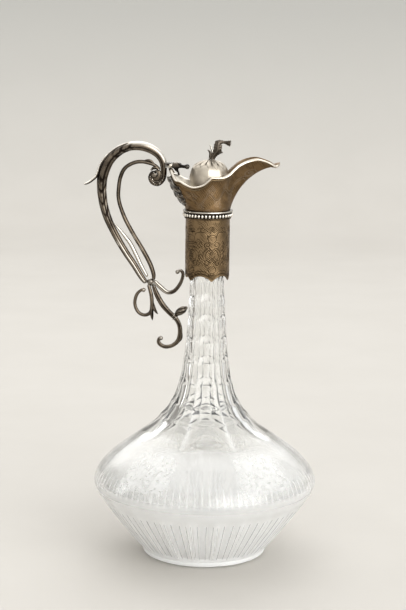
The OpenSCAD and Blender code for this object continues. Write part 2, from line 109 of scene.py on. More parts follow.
def make(name, verts, faces, body, material, replaced, slot, sharp, marks=None, etch=None):
    """One piece: verts in millimetres. marks and etch are values per vertex that its material reads, 0 for
    vertices after their last."""
    me = bpy.data.meshes.new(name)
    me.from_pydata([tuple(v) for v in np.asarray(verts, float) * MM], [], faces)
    bm = bmesh.new()
    bm.from_mesh(me)
    bmesh.ops.recalc_face_normals(bm, faces=bm.faces)
    bm.to_mesh(me)
    bm.free()
    me.polygons.foreach_set("use_smooth", [True] * len(me.polygons))
    me.set_sharp_from_angle(angle=radians(sharp))
    for key, values in (("cut", marks), ("etch", etch)):
        if values is not None:
            row = np.zeros(len(verts), np.float32)
            row[:np.size(values)] = np.ravel(values)
            me.attributes.new(key, "FLOAT", "POINT").data.foreach_set("value", row)
    me.materials.append(material)
    obj = add_object(name, me)
    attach(obj, body)
    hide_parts(*replaced)


def grid_faces(rows, cols, around_rows=False):
    """Quads of a grid with rows * cols points, closed along its columns, and along its rows if asked."""
    faces = []
    for i in range(rows if around_rows else rows - 1):
        for j in range(cols):
            a, b = i * cols + j, i * cols + (j + 1) % cols
            c, d = ((i + 1) % rows) * cols + j, ((i + 1) % rows) * cols + (j + 1) % cols
            faces.append((a, b, d, c))
    return faces


def circle(th, r, z):
    """Points at the angles th, radius r and height z, for numbers or matching arrays."""
    return np.stack(np.broadcast_arrays(r * np.cos(th), r * np.sin(th), z + 0 * th), -1)


def closed_mesh(grid):
    """A skin over the rings of grid (rings, points, 3), the last joined to the first."""
    return grid.reshape(-1, 3), grid_faces(*grid.shape[:2], around_rows=True)


def tube_mesh(grid, start, end):
    """A skin over the rings of grid (rings, points, 3) with a point before and after."""
    rings, m = grid.shape[:2]
    verts = np.concatenate([grid.reshape(-1, 3), [start], [end]])
    faces = grid_faces(rings, m)
    s, e, last = rings * m, rings * m + 1, (rings - 1) * m
    faces += [(s, (j + 1) % m, j) for j in range(m)]
    faces += [(e, last + j, last + (j + 1) % m) for j in range(m)]
    return verts, faces


def near_curves(u, v, curves):
    """Distance from each point (u, v) to the nearest of the curves, each a list of points."""
    best = np.full(u.shape, 1e9)
    for c in curves:
        c = np.asarray(c, float)
        for a, b in zip(c[:-1], c[1:]):
            d = b - a
            t = np.clip(((u - a[0]) * d[0] + (v - a[1]) * d[1]) / max(d @ d, 1e-9), 0, 1)
            best = np.minimum(best, np.hypot(u - a[0] - t * d[0], v - a[1] - t * d[1]))
    return best


def engraved(dist, width, depth):
    """Height of a graver's cut with its raised burr, and its mark: dark in the cut, with a painted glint on
    the burr.
    """
    cut = bell(dist, width)
    burr = bell(dist - 2.1 * width, width)
    # the negative mark on the burr paints a glint beside each cut
    return depth * (0.45 * burr - cut), 0.8 * cut - 0.55 * burr


def scroll(cx, cz, r0, r1, a0, a1, steps):
    """A spiral arc from radius r0 at angle a0 to r1 at a1, in degrees."""
    t = np.linspace(0, 1, steps)
    a = np.radians(a0 + (a1 - a0) * t)
    r = mix(r0, r1, t)
    return np.stack([cx + r * np.cos(a), cz + r * np.sin(a)], 1)


# ---- Materials ----

def fill(tree, node, key, value):
    """Gives an input of a node its value, or a link from another node's output."""
    if isinstance(value, bpy.types.NodeSocket):
        tree.links.new(value, node.inputs[key])
    else:
        node.inputs[key].default_value = value


def add_node(tree, kind, inputs=(), **settings):
    """The outputs of a new shader node with these settings and inputs."""
    node = tree.nodes.new("ShaderNode" + kind)
    for key, value in settings.items():
        setattr(node, key, value)
    for key, value in inputs:
        fill(tree, node, key, value)
    return node.outputs


class Material:
    """A node material with a few short helpers."""

    def __init__(self, name):
        self.data = bpy.data.materials.new(name)
        self.data.use_nodes = True
        self.tree = self.data.node_tree
        self.bsdf = self.tree.nodes["Principled BSDF"]
        self.place = self.add("TexCoord", "Object")

    def add(self, kind, out, *inputs, **settings):
        return add_node(self.tree, kind, inputs, **settings)[out]

    def set(self, **values):
        for key, value in values.items():
            fill(self.tree, self.bsdf, key.replace("_", " "), value)

    def stretched(self, scale):
        return self.add("Mapping", "Vector", ("Vector", self.place), ("Scale", scale))

    def noise(self, scale, detail, rough=0.55, where=None, warp=0.0):
        return self.add("TexNoise", "Fac", ("Vector", where or self.place), ("Scale", scale),
                        ("Detail", detail), ("Roughness", rough), ("Distortion", warp))

    def strokes(self, scale, warp):
        """Short curling lines, as a graver leaves them."""
        return self.add("TexWave", "Fac", ("Vector", self.place), ("Scale", scale), ("Distortion", warp),
                        ("Detail", 1.0), ("Detail Scale", 0.55), bands_direction="DIAGONAL")

    def crackle(self, scale):
        """Distance to the edges of small cells."""
        return self.add("TexVoronoi", "Distance", ("Vector", self.place), ("Scale", scale),
                        feature="DISTANCE_TO_EDGE")

    def spread(self, value, lo, hi, out_lo=0.0, out_hi=1.0):
        return self.add("MapRange", "Result", ("Value", value), ("From Min", lo), ("From Max", hi),
                        ("To Min", out_lo), ("To Max", out_hi))

    def math(self, kind, a, b):
        return self.add("Math", "Value", (0, a), (1, b), operation=kind)

    def plus(self, a, b):
        return self.math("ADD", a, b)

    def times(self, a, b):
        return self.math("MULTIPLY", a, b)

    def blend(self, factor, a, b):
        """Mixes two colours, each three numbers or another node's output."""
        a, b = ((*v, 1.0) if isinstance(v, tuple) else v for v in (a, b))
        return self.add("Mix", MIXED, ("Factor", factor), (COLOUR_A, a), (COLOUR_B, b), data_type="RGBA")

    def mark(self, name="cut"):
        return self.add("Attribute", "Fac", attribute_name=name)

    def bump(self, value, strength, distance):
        self.set(Normal=self.add("Bump", "Normal", ("Height", value), ("Strength", strength),
                                 ("Distance", distance)))


COLOUR_A, COLOUR_B, MIXED = 6, 7, 2  # a Mix node's colour sockets, which share their names with others
# the colour of polished silver, used both for worn edges and for the painted highlights that negative marks
# call for
POLISH_AND_HIGHLIGHT = (0.86, 0.82, 0.74)


def silver(name, light, dark, rough, tarnish, worn=0.0, chased=0.0, scale=70):
    """Silver with tarnish in patches and hollows, bright worn edges and fine handling marks.

    The mesh's own marks darken it from 0 to 1, or brighten it from 0 to -1 with the polish colour; on several
    pieces these marks are painted shade and painted highlights.
    chased is how strongly fine strokes fill the ground."""
    m = Material(name)
    patch = m.noise(scale, 5.0, 0.6, warp=0.4)
    fine = m.noise(1400, 3.0)
    brushed = m.noise(1.0, 3.0, where=m.stretched((260, 260, 2600)))
    edge, mark = m.add("NewGeometry", "Pointiness"), m.mark()
    dull = m.plus(m.spread(patch, 0.35, 0.7, 0.0, tarnish), m.spread(edge, 0.5, 0.42, 0.0, 0.6))
    dull = m.plus(dull, m.spread(mark, 0.0, 1.0, 0.0, 0.85))
    # worn edges, and the painted highlights from negative marks
    bright = m.math("MAXIMUM", m.spread(edge, 0.52, 0.6, 0.0, worn), m.spread(mark, 0.0, -1.0))
    relief = m.plus(m.times(fine, 0.1), m.times(brushed, 0.15))
    if chased:
        ground = m.spread(m.noise(170, 2.0, warp=0.6), 0.4, 0.55)
        stroke = m.times(m.spread(m.strokes(360, 8.0), 0.25, 0.75), ground)
        dull = m.plus(dull, m.times(stroke, chased))
        relief = m.math("SUBTRACT", relief, m.times(stroke, 1.4 * chased))
    body = m.blend(m.spread(dull, 0.0, 1.0), light, dark)
    gloss = m.plus(m.spread(patch, 0.3, 0.7, *rough), m.spread(fine, 0.3, 0.7, -0.04, 0.05))
    m.set(Metallic=1.0, Base_Color=m.blend(bright, body, POLISH_AND_HIGHLIGHT), Roughness=gloss)
    m.bump(relief, 0.6, 0.0002)
    return m.data


# The warm brown of these two silvers is partly tarnish and partly a painted reflection of a warm brown
# ground.
PATINA_AND_REFLECTION = silver("engraved_silver", (0.235, 0.16, 0.086), (0.03, 0.019, 0.009), (0.26, 0.42), 0.35,
                chased=0.5, scale=150)
BOWL_SILVER = silver("bowl_silver", (0.192, 0.122, 0.06), (0.036, 0.022, 0.01), (0.36, 0.5), 0.4, chased=0.45)
RIM_SILVER = silver("rim_silver", (0.26, 0.185, 0.105), (0.025, 0.017, 0.009), (0.2, 0.34), 0.35)
BRIGHT = silver("polished_silver", (0.62, 0.57, 0.49), (0.16, 0.125, 0.09), (0.16, 0.3), 0.35)
BEAD_SILVER = silver("bead_silver", (0.5, 0.45, 0.37), (0.022, 0.017, 0.011), (0.16, 0.28), 0.15)
CAST = silver("cast_silver", (0.185, 0.15, 0.112), (0.015, 0.011, 0.008), (0.16, 0.3), 0.8, 0.55, scale=110)
# A darker copy of cast silver: on the strap its darkness is a painted dark reflection.
DARK_CAST = silver("dark_cast_silver", (0.135, 0.11, 0.085), (0.012, 0.01, 0.008), (0.2, 0.34), 0.7, 0.5,
                   scale=140)
LID = silver("lid_silver", (0.55, 0.495, 0.41), (0.055, 0.04, 0.026), (0.36, 0.5), 0.3, 0.4, scale=110)


def cut_glass():
    """Lead glass: clear on the neck, satin flutes below, and fine engraving on the shoulder.

    The mesh says how matt each point is, and where it is engraved."""
    m = Material("cut_glass")
    matt, engraving = m.mark(), m.mark("etch")
    sprigs = m.noise(190, 6.0, 0.62, warp=1.8)
    streaks = m.noise(1.0, 4.0, 0.6, where=m.stretched((420, 420, 24)))
    gaps = m.spread(m.plus(m.times(sprigs, 0.6), m.times(streaks, 0.4)), 0.56, 0.4, 0.0, 0.6)
    haze = m.times(matt, m.math("SUBTRACT", 1.0, m.times(gaps, engraving)))
    m.set(IOR=1.53, Base_Color=(0.985, 0.99, 0.985, 1.0),
          Roughness=m.spread(m.times(haze, haze), 0.0, 1.0, 0.012, 0.75),
          Transmission_Weight=m.spread(haze, 0.0, 1.0, 0.99, 0.29))
    relief = m.plus(m.times(sprigs, 0.5), m.spread(m.crackle(800), 0.0, 0.2, -0.25, 0.0))
    m.bump(m.plus(m.times(relief, engraving), m.times(m.times(streaks, 0.5), matt)), 0.4, 0.0005)
    return m.data


def plaster():
    m = Material("plaster")
    grain = m.noise(350, 5.0)
    m.set(Roughness=0.85, Base_Color=m.blend(grain, (0.8, 0.77, 0.7), (0.62, 0.58, 0.5)))
    m.bump(grain, 0.4, 0.0003)
    return m.data


GLASS = cut_glass()
PLASTER = plaster()

# ---- Glass ----

RIDGES = [186.7, 172.3, 156.6, 141.9, 125.8, 110.4]
RING_HIGH, RING_LOW = 100.4, 89.0
PANELS = 8
PANEL_MID = FRONT + radians(2.5)
FLUTES, FLUTE_STEPS = 24, 24
SIDES = FLUTES * FLUTE_STEPS
RIDGE_STEP = 6  # steps from a panel's middle to a ridge between two flutes
NECK_TOP = 247
FLOOR_Z, UNDER_Z = 8.5, 0.9  # heights of the floor inside and of the hollow under the foot
FLUTES_END, BELLY_Z = 47.5, 54
BELT_RINGS = (47.8, 49.6)
OUTER = profile([
    (0, 40.6), (1.6, 44.3), (4.4, 45.2), (10, 50.3), (18, 56.8), (26, 63.1), (34, 69.2), (42, 74.7),
    (48, 78), (54, 80.15), (60, 78.4), (66, 74.3), (72, 68.3), (78, 60.5), (84, 52.5), (89, 45.2),
    (96, 36), (100.4, 31.9), (104, 28.9), (110.4, 24.9), (118, 21.6), (124, 19.7), (140, 16.7),
    (160, 14.7), (180, 13.4), (196, 12.6), (203, 12.35), (247, 12.35)])
INNER = profile([
    (8.6, 34), (9.6, 42.5), (13.3, 47.2), (18, 51.7), (26, 58), (34, 64), (42, 69.5), (48, 73), (54, 75.6),
    (60, 73.4), (66, 69.1), (72, 62.2), (78, 53.9), (84, 45.5), (90, 36.3), (96, 29.9), (104, 23.4),
    (112, 19.2), (124, 15.2), (140, 12.2), (160, 10.4), (180, 9.5), (200, 9.2), (247, 9.2)])


def glass_rows():
    """Heights of the rows of the outside, closest where it is cut."""
    edges = [0, 1.6, 4.4, 10, 47, 60, 72, RING_LOW, RING_HIGH] + RIDGES[::-1] + [204, 207, NECK_TOP - 1]
    steps = [3, 4, 8, 22, 12, 8, 14, 12, 12] + [14] * 5 + [12, 4, 8]
    rows = [np.linspace(lo, hi, n, endpoint=False) for lo, hi, n in zip(edges[:-1], edges[1:], steps)]
    return np.concatenate(rows + [[NECK_TOP - 1]])


def glass():
    z = glass_rows()[:, None]
    th = (np.arange(SIDES) * 2 * pi / SIDES + PANEL_MID)[None, :]
    r = OUTER(z) * np.ones_like(th)
    # panels of the neck, flat and a little hollow, fading out below the rings
    span = 2 * pi / PANELS
    off = (th - PANEL_MID + span / 2) % span - span / 2
    panel = np.cos(span * 0.27) / np.cos(off) * (1 - 0.018 * np.cos(pi * off / span))
    on_neck = smooth(84, 104, z) * (1 - smooth(199, 205, z))
    r = r * (1 + (panel - 1) * on_neck)
    # scoops between the ridges, deepest in the middle of each panel
    edges = [RING_LOW, RING_HIGH] + RIDGES[::-1] + [204]
    for lo, hi in zip(edges[:-1], edges[1:]):
        inside = (z >= lo) & (z <= hi)
        f = np.clip((z - lo) / (hi - lo), 0, 1)
        dip = np.sin(pi * f ** 0.62)
        big = 0.8 if lo >= RING_HIGH else 0.45
        r = r - np.where(inside, dip * (0.42 + big * np.cos(pi * off / span)), 0)
    # flutes of the lower body, crisp between their hollows
    step = (np.arange(SIDES)[None, :] - RIDGE_STEP) % FLUTE_STEPS
    hollow = 1 - np.abs(2 * step / FLUTE_STEPS - 1) ** 1.7
    on_flutes = smooth(4.6, 9, z) * (1 - smooth(40, FLUTES_END, z))
    mitre = np.isin(step, (0, 3, 21))  # a thin cut on each ridge and one on either side of it
    r = r - (1.5 * hollow + 0.6 * mitre * (1 - smooth(32, 45, z))) * on_flutes
    # two fine rings cut over the flutes, and the bevel over the foot
    for height in BELT_RINGS:
        r = r - 0.25 * bell(z - height, 0.35)
    r = r - 0.3 * bell(z - 4.4, 0.4)
    outer = circle(th, r, z)
    zi = np.concatenate([np.linspace(NECK_TOP, 116, 40), np.linspace(114, 8.6, 76)])
    inner = np.stack([circle(th[0], INNER(h), h) for h in zi])
    well = np.stack([circle(th[0], q, FLOOR_Z) for q in (24, 10)])
    under = np.stack([circle(th[0], q, h) for q, h in ((10, UNDER_Z), (34, UNDER_Z), (37, 0.02))])
    lip = circle(th[0], OUTER(NECK_TOP) - 0.9, NECK_TOP)
    grid = np.concatenate([under, outer, lip[None], inner, well])
    verts, faces = tube_mesh(grid, (0, 0, UNDER_Z), (0, 0, FLOOR_Z))
    # satin: flutes with clear hairlines, a belt that fades out upwards in rays, sprays on the shoulder,
    # and a faint seam where each panel's edge ends
    hairline = np.isin(step, (2, 22)) + 0.7 * np.isin(step, (8, 16))
    lower = on_flutes * (0.9 - 0.2 * hollow + 0.1 * mitre - 0.36 * hairline)
    lower = lower + 0.9 * (1 - smooth(4, 9, z)) * (z > 1)
    belt = smooth(33, 41, z) * (1 - smooth(48, 66, z))
    spray = 0.5 + 0.5 * np.cos(5 * (th - FRONT) + pi)
    on_shoulder = smooth(BELLY_Z, 64, z) * (1 - smooth(80, RING_LOW, z))
    shoulder = on_shoulder * (0.25 + 0.25 * smooth(0.35, 0.8, spray))
    seam = bell(np.abs(off) - span / 2, 0.045) * smooth(82, 90, z) * (1 - smooth(104, 116, z))
    cut_rows = slice(len(under), len(under) + len(z))
    matt = np.zeros(grid.shape[:2])
    matt[:len(under)] = 0.9
    rays = 0.52 * (step % 6 == 0) * smooth(46, 54, z) * (1 - smooth(60, 80, z))
    for part in (lower, 0.62 * belt, shoulder, rays, 0.35 * seam):
        matt[cut_rows] = np.maximum(matt[cut_rows], part)
    etch = np.zeros(grid.shape[:2])
    etch[cut_rows] = 0.65 * on_shoulder * smooth(0.2, 0.7, spray)
    make("glass", verts, faces, "jug", GLASS, ["glass_body"], "cut_glass", sharp=32,
         marks=[*matt.ravel(), 0.9], etch=etch)


glass()

# ---- Collar ----

SLEEVE_R, SHEET, SLEEVE_Z, COLLAR_Z, BOWL_Z = 15.7, 0.9, 201.0, 247.0, 248.4
SCALLOPS, SCALLOP_RISE = 6, 3.6
SCALLOP_MID = FRONT + radians(12)


def cartouche():
    """Rococo scrolls for one sixth of the sleeve, right half only, as lists of (across, height)."""
    c = [scroll(0.2, 219, 6.2, 6.6, 62, -38, 18), scroll(3.4, 226.6, 2.5, 0.7, -60, 330, 22),
         scroll(4.4, 213.6, 2.3, 0.6, 80, 430, 22), scroll(0, 219, 4.7, 4.9, 80, -70, 18),
         scroll(0.4, 231.5, 3.4, 1.1, -80, 190, 18), scroll(0.3, 208.6, 3.2, 1.0, 80, -180, 18),
         scroll(7.6, 233, 4.4, 2.2, 200, 60, 16), scroll(6.6, 237.6, 2.0, 0.6, -90, 220, 18),
         scroll(7.4, 205.6, 3.4, 1.8, 160, 20, 14)]
    for k in range(5):  # a fan over the frame and a palmette under it
        a = radians(90 - 17 * k)
        x, y = cos(a), sin(a)
        c.append([(1.3 * x, 234.6 + 1.3 * y), (4.1 * x, 235 + 4.6 * y)])
        c.append([(1.1 * x, 206.6 - 1.1 * y), (2.9 * x, 206.2 - 2.9 * y)])
    for k in range(6):  # leaf veins outside the frame
        z = 212.5 + 2.9 * k
        c.append([(6.7, z), (7.4, z + 1.0), (8.0, z + 2.2)])
    for k in range(5):  # trellis in the middle
        d = -3.2 + 1.6 * k
        c.append([(0, 219 + d), (3.1 - abs(d) * 0.3, 219 + d + 2.4)])
        c.append([(0, 219 + d), (3.1 - abs(d) * 0.3, 219 + d - 2.4)])
    return c


def sleeve():
    sides, rows = 504, 190
    th = np.arange(sides) * 2 * pi / sides + SCALLOP_MID
    step = 2 * pi / SCALLOPS
    off = (th - SCALLOP_MID + step / 2) % step - step / 2  # 0 at a pendant point
    x = SLEEVE_R * np.sin(step / 2 - np.abs(off))
    half = SLEEVE_R * sin(step / 2) - 0.5
    big = (half ** 2 + SCALLOP_RISE ** 2) / (2 * SCALLOP_RISE)
    edge = SLEEVE_Z + np.maximum(0, SCALLOP_RISE - big + np.sqrt(np.maximum(big ** 2 - x ** 2, 0)))
    f = np.linspace(0, 1, rows)[:, None]
    z = edge[None, :] + (COLLAR_Z - edge[None, :]) * f
    u = np.abs(off)[None, :] * SLEEVE_R * np.ones_like(z)
    rise, cut = engraved(near_curves(u, z, cartouche()), 0.25, 0.15)
    for line, deep in ((edge + 1.3, 0.15), (edge + 2.0, 0.1)):  # two lines that follow the edge
        groove = bell(z - line[None, :], 0.24)
        rise, cut = rise - deep * groove, np.maximum(cut, 0.8 * groove)
    r = SLEEVE_R + rise
    inside = SLEEVE_R - SHEET
    outer = circle(th, r, z)
    inner = np.stack([circle(th, inside, edge + (COLLAR_Z - edge) * q) for q in (1, 0.5, 0)])
    lip = np.stack([circle(th, inside + 0.2, edge - 0.12), circle(th, SLEEVE_R - 0.15, edge - 0.12)])
    grid = np.concatenate([outer, inner, lip])
    make("sleeve", *closed_mesh(grid), "jug", PATINA_AND_REFLECTION, ["neck_sleeve"], "engraved_silver", sharp=60, marks=cut)


def turned(section, sides=192):
    """A ring turned from a closed section of (radius, height)."""
    th = np.arange(sides) * 2 * pi / sides
    return closed_mesh(np.array([circle(th, r, z) for r, z in section]))


def join(parts):
    """Several (verts, faces) as one mesh."""
    verts, faces, n = [], [], 0
    for v, f in parts:
        verts.append(np.asarray(v, float))
        faces += [tuple(i + n for i in q) for q in f]
        n += len(v)
    return np.concatenate(verts), faces


def ball(centre, size, rings=10, sides=16, lobes=0, axis=(0, 0, 1)):
    """A bead or bud: an ellipsoid of three half sizes, lobed if lobes is given, turned to axis."""
    a = np.linspace(0, pi, rings + 2)[1:-1]
    th = np.arange(sides) * 2 * pi / sides
    lobe = 1 - 0.18 * np.abs(np.sin(lobes * th / 2))
    grid = np.stack([circle(th, sin(q) * lobe, -cos(q)) for q in a]) * size
    verts, faces = tube_mesh(grid, (0, 0, -size[2]), (0, 0, size[2]))
    w = unit(axis)
    s = unit(np.cross((0, 1, 0), w)) if abs(w[1]) < 0.9 else np.array((1.0, 0, 0))
    turn = np.stack([s, np.cross(w, s), w], 1)
    return verts @ turn.T + np.asarray(centre, float), faces


BEADS, BEAD_R, BAND_H = 42, 1.15, 3.0


def beads():
    base = SLEEVE_R + 0.8
    low, high = BOWL_Z - BAND_H, BOWL_Z
    parts = [turned([(SLEEVE_R + 0.02, low + 0.05), (base - 0.05, low), (base + 0.25, low + 0.2),
                     (base + 0.25, low + 0.42), (base - 0.1, low + 0.6), (base - 0.1, high - 0.4),
                     (base, high - 0.02), (SLEEVE_R + 0.02, high - 0.02)])]
    r = SLEEVE_R + BEAD_R
    bead, faces = ball((r, 0, low + 1.55), (1.08, 0.9, 1.32))
    for k in range(BEADS):
        a = 2 * pi * k / BEADS
        c, s = cos(a), sin(a)
        parts.append((bead @ np.array([(c, s, 0), (-s, c, 0), (0, 0, 1)]), faces))
    v, f = join(parts)
    # painted shade on the ring under and between the beads, painted highlight on the beads' outer faces
    shade = 1 - smooth(SLEEVE_R + 1.1, SLEEVE_R + 1.95, np.hypot(v[:, 0], v[:, 1]))
    make("beads", v, f, "jug", BEAD_SILVER, ["bead_band"], "polished_silver", sharp=50,
         marks=2.1 * shade - 0.9)


def reed():
    z, r = BOWL_Z - BAND_H - 1.3, SLEEVE_R
    curve = [(r + 0.3 + 0.6 * sin(a), z + 0.6 - 0.58 * cos(a))
             for a in np.linspace(0.2, pi - 0.2, 9)]
    v, f = turned([(r + 0.01, z), (r + 0.35, z)] + curve + [(r + 0.35, z + 1.2), (r + 0.01, z + 1.2)])
    make("reed", v, f, "jug", PATINA_AND_REFLECTION, ["sleeve_reed"], "polished_silver", sharp=50,
         marks=np.full(len(v), 0.35))


def wire():
    z, r = BOWL_Z, SLEEVE_R + 0.3
    curve = [(r + 0.75 + 0.98 * sin(a), z + 1 - 0.98 * cos(a))
             for a in np.linspace(0.1, pi - 0.1, 23)]
    v, f = turned([(r, z + 0.01), (r + 0.75, z + 0.01)] + curve + [(r + 0.7, z + 2), (r, z + 1.95)])
    # painted highlight: a bright line just above the middle of the wire's round, with painted shade above and
    # below it
    make("wire", v, f, "jug", BEAD_SILVER, ["band_wire"], "polished_silver", sharp=50,
         marks=1.0 - 1.8 * bell(v[:, 2] - z - 1.25, 0.26))


# ---- Pouring bowl ----

# [x, half width, height, angle of the rib's foot, lean of the rib's end], from the hinge to the lip
RIM = [
    [-26.9, 0, 278.6, 180, 3], [-26.5, 4.6, 278.3, 167, 4], [-25.1, 8.8, 275.4, 157, 8],
    [-22.6, 12.2, 271.3, 148, 14], [-19.2, 14.4, 270.6, 140, 18], [-15.6, 16, 268.7, 131, 22],
    [-10.2, 17.4, 267, 119, 25], [-4, 17.9, 268.4, 102, 26], [0, 17.7, 271.6, 91, 25],
    [2.4, 17.2, 273.7, 83, 24], [6.2, 16.3, 273.7, 71, 28], [10.4, 15, 274, 58, 34],
    [14.3, 13.4, 275.9, 46, 42], [18, 11.8, 279.4, 37, 48], [22, 10.4, 282.7, 29, 54],
    [27.6, 8.7, 285.3, 21, 61], [33.4, 7.4, 286.4, 15.5, 67], [38.6, 6.6, 285.4, 11.5, 73],
    [43, 6, 283.7, 8, 80], [46.6, 4.6, 281.6, 5, 84], [48.9, 2.4, 282.3, 2.5, 80], [49.6, 0, 283.2, 0, 78],
]
RIM_LAST = len(RIM) - 1
RIM_N = 4 * RIM_LAST
FOOT_R = SLEEVE_R - 0.4
BAND_DROP = 2.4


def rim_control(i):
    """Row i of RIM, mirrored past both ends."""
    if 0 <= i <= RIM_LAST:
        return RIM[i]
    x, y, z, a, lean = RIM[-i if i < 0 else 2 * RIM_LAST - i]
    return [x, -y, z, 360 - a if i < 0 else -a, lean]


def rib(k):
    """Four control points of the bowl's rib at station k, which runs round the rim from the hinge."""
    q = (k + RIM_N) % RIM_N
    near = q <= RIM_N / 2
    u = (q if near else RIM_N - q) / 2
    i = min(int(u), RIM_LAST - 1)
    x, y, z, a, lean = spline_at([rim_control(i + n) for n in (-1, 0, 1, 2)], 1 + u - i)
    if near:
        y, a = -y, -a
    a, lean = radians(a), radians(lean)
    foot = np.array([FOOT_R * cos(a), FOOT_R * sin(a), BOWL_Z])
    top = np.array([x, y, z])
    span = np.linalg.norm(top - foot)
    side = unit([top[0] - foot[0], top[1] - foot[1], 0])
    out = np.array([cos(a), sin(a), 0])
    up = np.array([0, 0, 1.0])
    end = span * mix(0.3, 0.42, sin(lean)) * (side * sin(lean) + up * cos(lean))
    return np.array([foot, foot + span * 0.33 * unit(out * 0.2 + up), top - end, top])


def bowl_pt(k, s):
    """Points of the bowl's outside at station k, at places s from 0 at the foot to 1 at the rim."""
    r, t = rib(k), np.asarray(s, float)[..., None]
    return r[0] * (1 - t) ** 3 + r[1] * 3 * t * (1 - t) ** 2 + r[2] * 3 * t * t * (1 - t) + r[3] * t ** 3


def bowl_normal(k, s):
    """Points out of the bowl, for a list s of places up the rib."""
    s = np.asarray(s, float)
    along = bowl_pt(k + 0.5, s) - bowl_pt(k - 0.5, s)
    up = bowl_pt(k, np.minimum(s + 0.04, 1)) - bowl_pt(k, np.maximum(s - 0.04, 0))
    return unit(np.cross(along, up))


def inside_pt(k, s, t):
    return bowl_pt(k, s) - t * bowl_normal(k, s)


VINE = 13.0  # length of one repeat of the bowl's engraved vine, in mm


def vine():
    """Engraving for one repeat of the bowl: (across from 0 to VINE, up from 0 to 22)."""
    u = np.linspace(-1, VINE + 1, 40)
    c = [np.stack([u, 10.5 + 2.1 * np.sin(2 * pi * u / VINE)], 1),
         scroll(3.4, 14.6, 2.0, 0.4, -90, 330, 22), scroll(9.8, 6.4, 2.0, 0.4, 90, 510, 22),
         scroll(6.4, 12.9, 1.2, 0.3, 200, -120, 14), scroll(12.6, 8.0, 1.2, 0.3, 20, -300, 14)]
    for k in range(4):
        c.append([(4.9 + 0.7 * k, 15.6 - 0.9 * k), (6.0 + 0.7 * k, 17.0 - 0.8 * k)])
        c.append([(11.3 + 0.6 * k, 5.4 + 0.9 * k), (12.2 + 0.6 * k, 4.2 + 0.9 * k)])
        c.append([(1.0 + 0.8 * k, 1.2 + 0.3 * (k % 2)), (1.5 + 0.8 * k, 2.6)])
    return c


def bowl():
    stations, rows = 420, 84
    ks = np.arange(stations) * RIM_N / stations
    s = np.linspace(0, 1, rows)
    outer = np.stack([bowl_pt(k, s) for k in ks])
    normal = np.stack([bowl_normal(k, s) for k in ks])
    length = np.linalg.norm(np.diff(outer, axis=1), axis=2).cumsum(1)
    up = np.concatenate([np.zeros((stations, 1)), length], 1)
    middle = outer[:, rows // 3]
    around = np.concatenate([[0], np.linalg.norm(np.diff(middle, axis=0), axis=1).cumsum()])
    repeat = around[-1] / round(around[-1] / VINE)
    u = (around[:, None] % repeat) * VINE / repeat + 0 * up
    v = up / up[:, -1:] * 22
    rise, cut = engraved(near_curves(u, v, vine()), 0.2, 0.04)
    cut = 0.15 * cut
    fade = smooth(0, 2.5, up) * (1 - smooth(-4.5, -3.2, up - up[:, -1:]))
    rise, cut = rise * fade, cut * fade
    outer = outer + normal * rise[..., None]
    si = np.linspace(1, 0, 40)
    inner = np.stack([inside_pt(k, si, SHEET) for k in ks])
    inner[:, -1, 2] = BOWL_Z
    grid = np.concatenate([outer, inner], 1)
    marks = np.concatenate([cut, np.zeros((stations, 40))], 1)
    make("bowl", *closed_mesh(grid), "jug", BOWL_SILVER, ["spout_bowl"], "engraved_silver", sharp=60,
         marks=marks)


def rim():
    """The applied moulding: a rounded top edge with a painted highlight, a step painted dark as its shadow,
    and a flat band under it.
    """
    section = [(0.2, -SHEET - 0.1), (0.62, -0.98), (0.86, -0.62), (0.96, -0.1), (0.9, 0.42), (0.66, 0.86),
               (0.3, 1.08), (-0.12, 1.1), (-0.42, 0.9), (-0.6, 0.55), (-0.72, 0.3), (-0.95, 0.3),
               (-1.12, 0.5), (-1.35, 0.62), (-1.75, 0.62), (-2.1, 0.55), (-BAND_DROP, 0.35),
               (-BAND_DROP - 0.02, -0.05)]
    rings, marks = [], []
    stations = 504
    for k in np.arange(stations) * RIM_N / stations:
        r = rib(k)
        n = bowl_normal(k, [1.0])[0]
        e = unit(r[3] - r[2])
        rings.append([r[3] + a * e + b * n for a, b in section])
        # painted highlight on the rounded top edge, painted shadow in the step under it
        marks.append([-0.6 if a > 0.6 and b > -0.8 else 1.0 if -1 < a < -0.5 else 0.3 for a, b in section])
    make("rim", *closed_mesh(np.array(rings)), "jug", RIM_SILVER, ["rim_moulding"], "polished_silver",
         sharp=50, marks=marks)


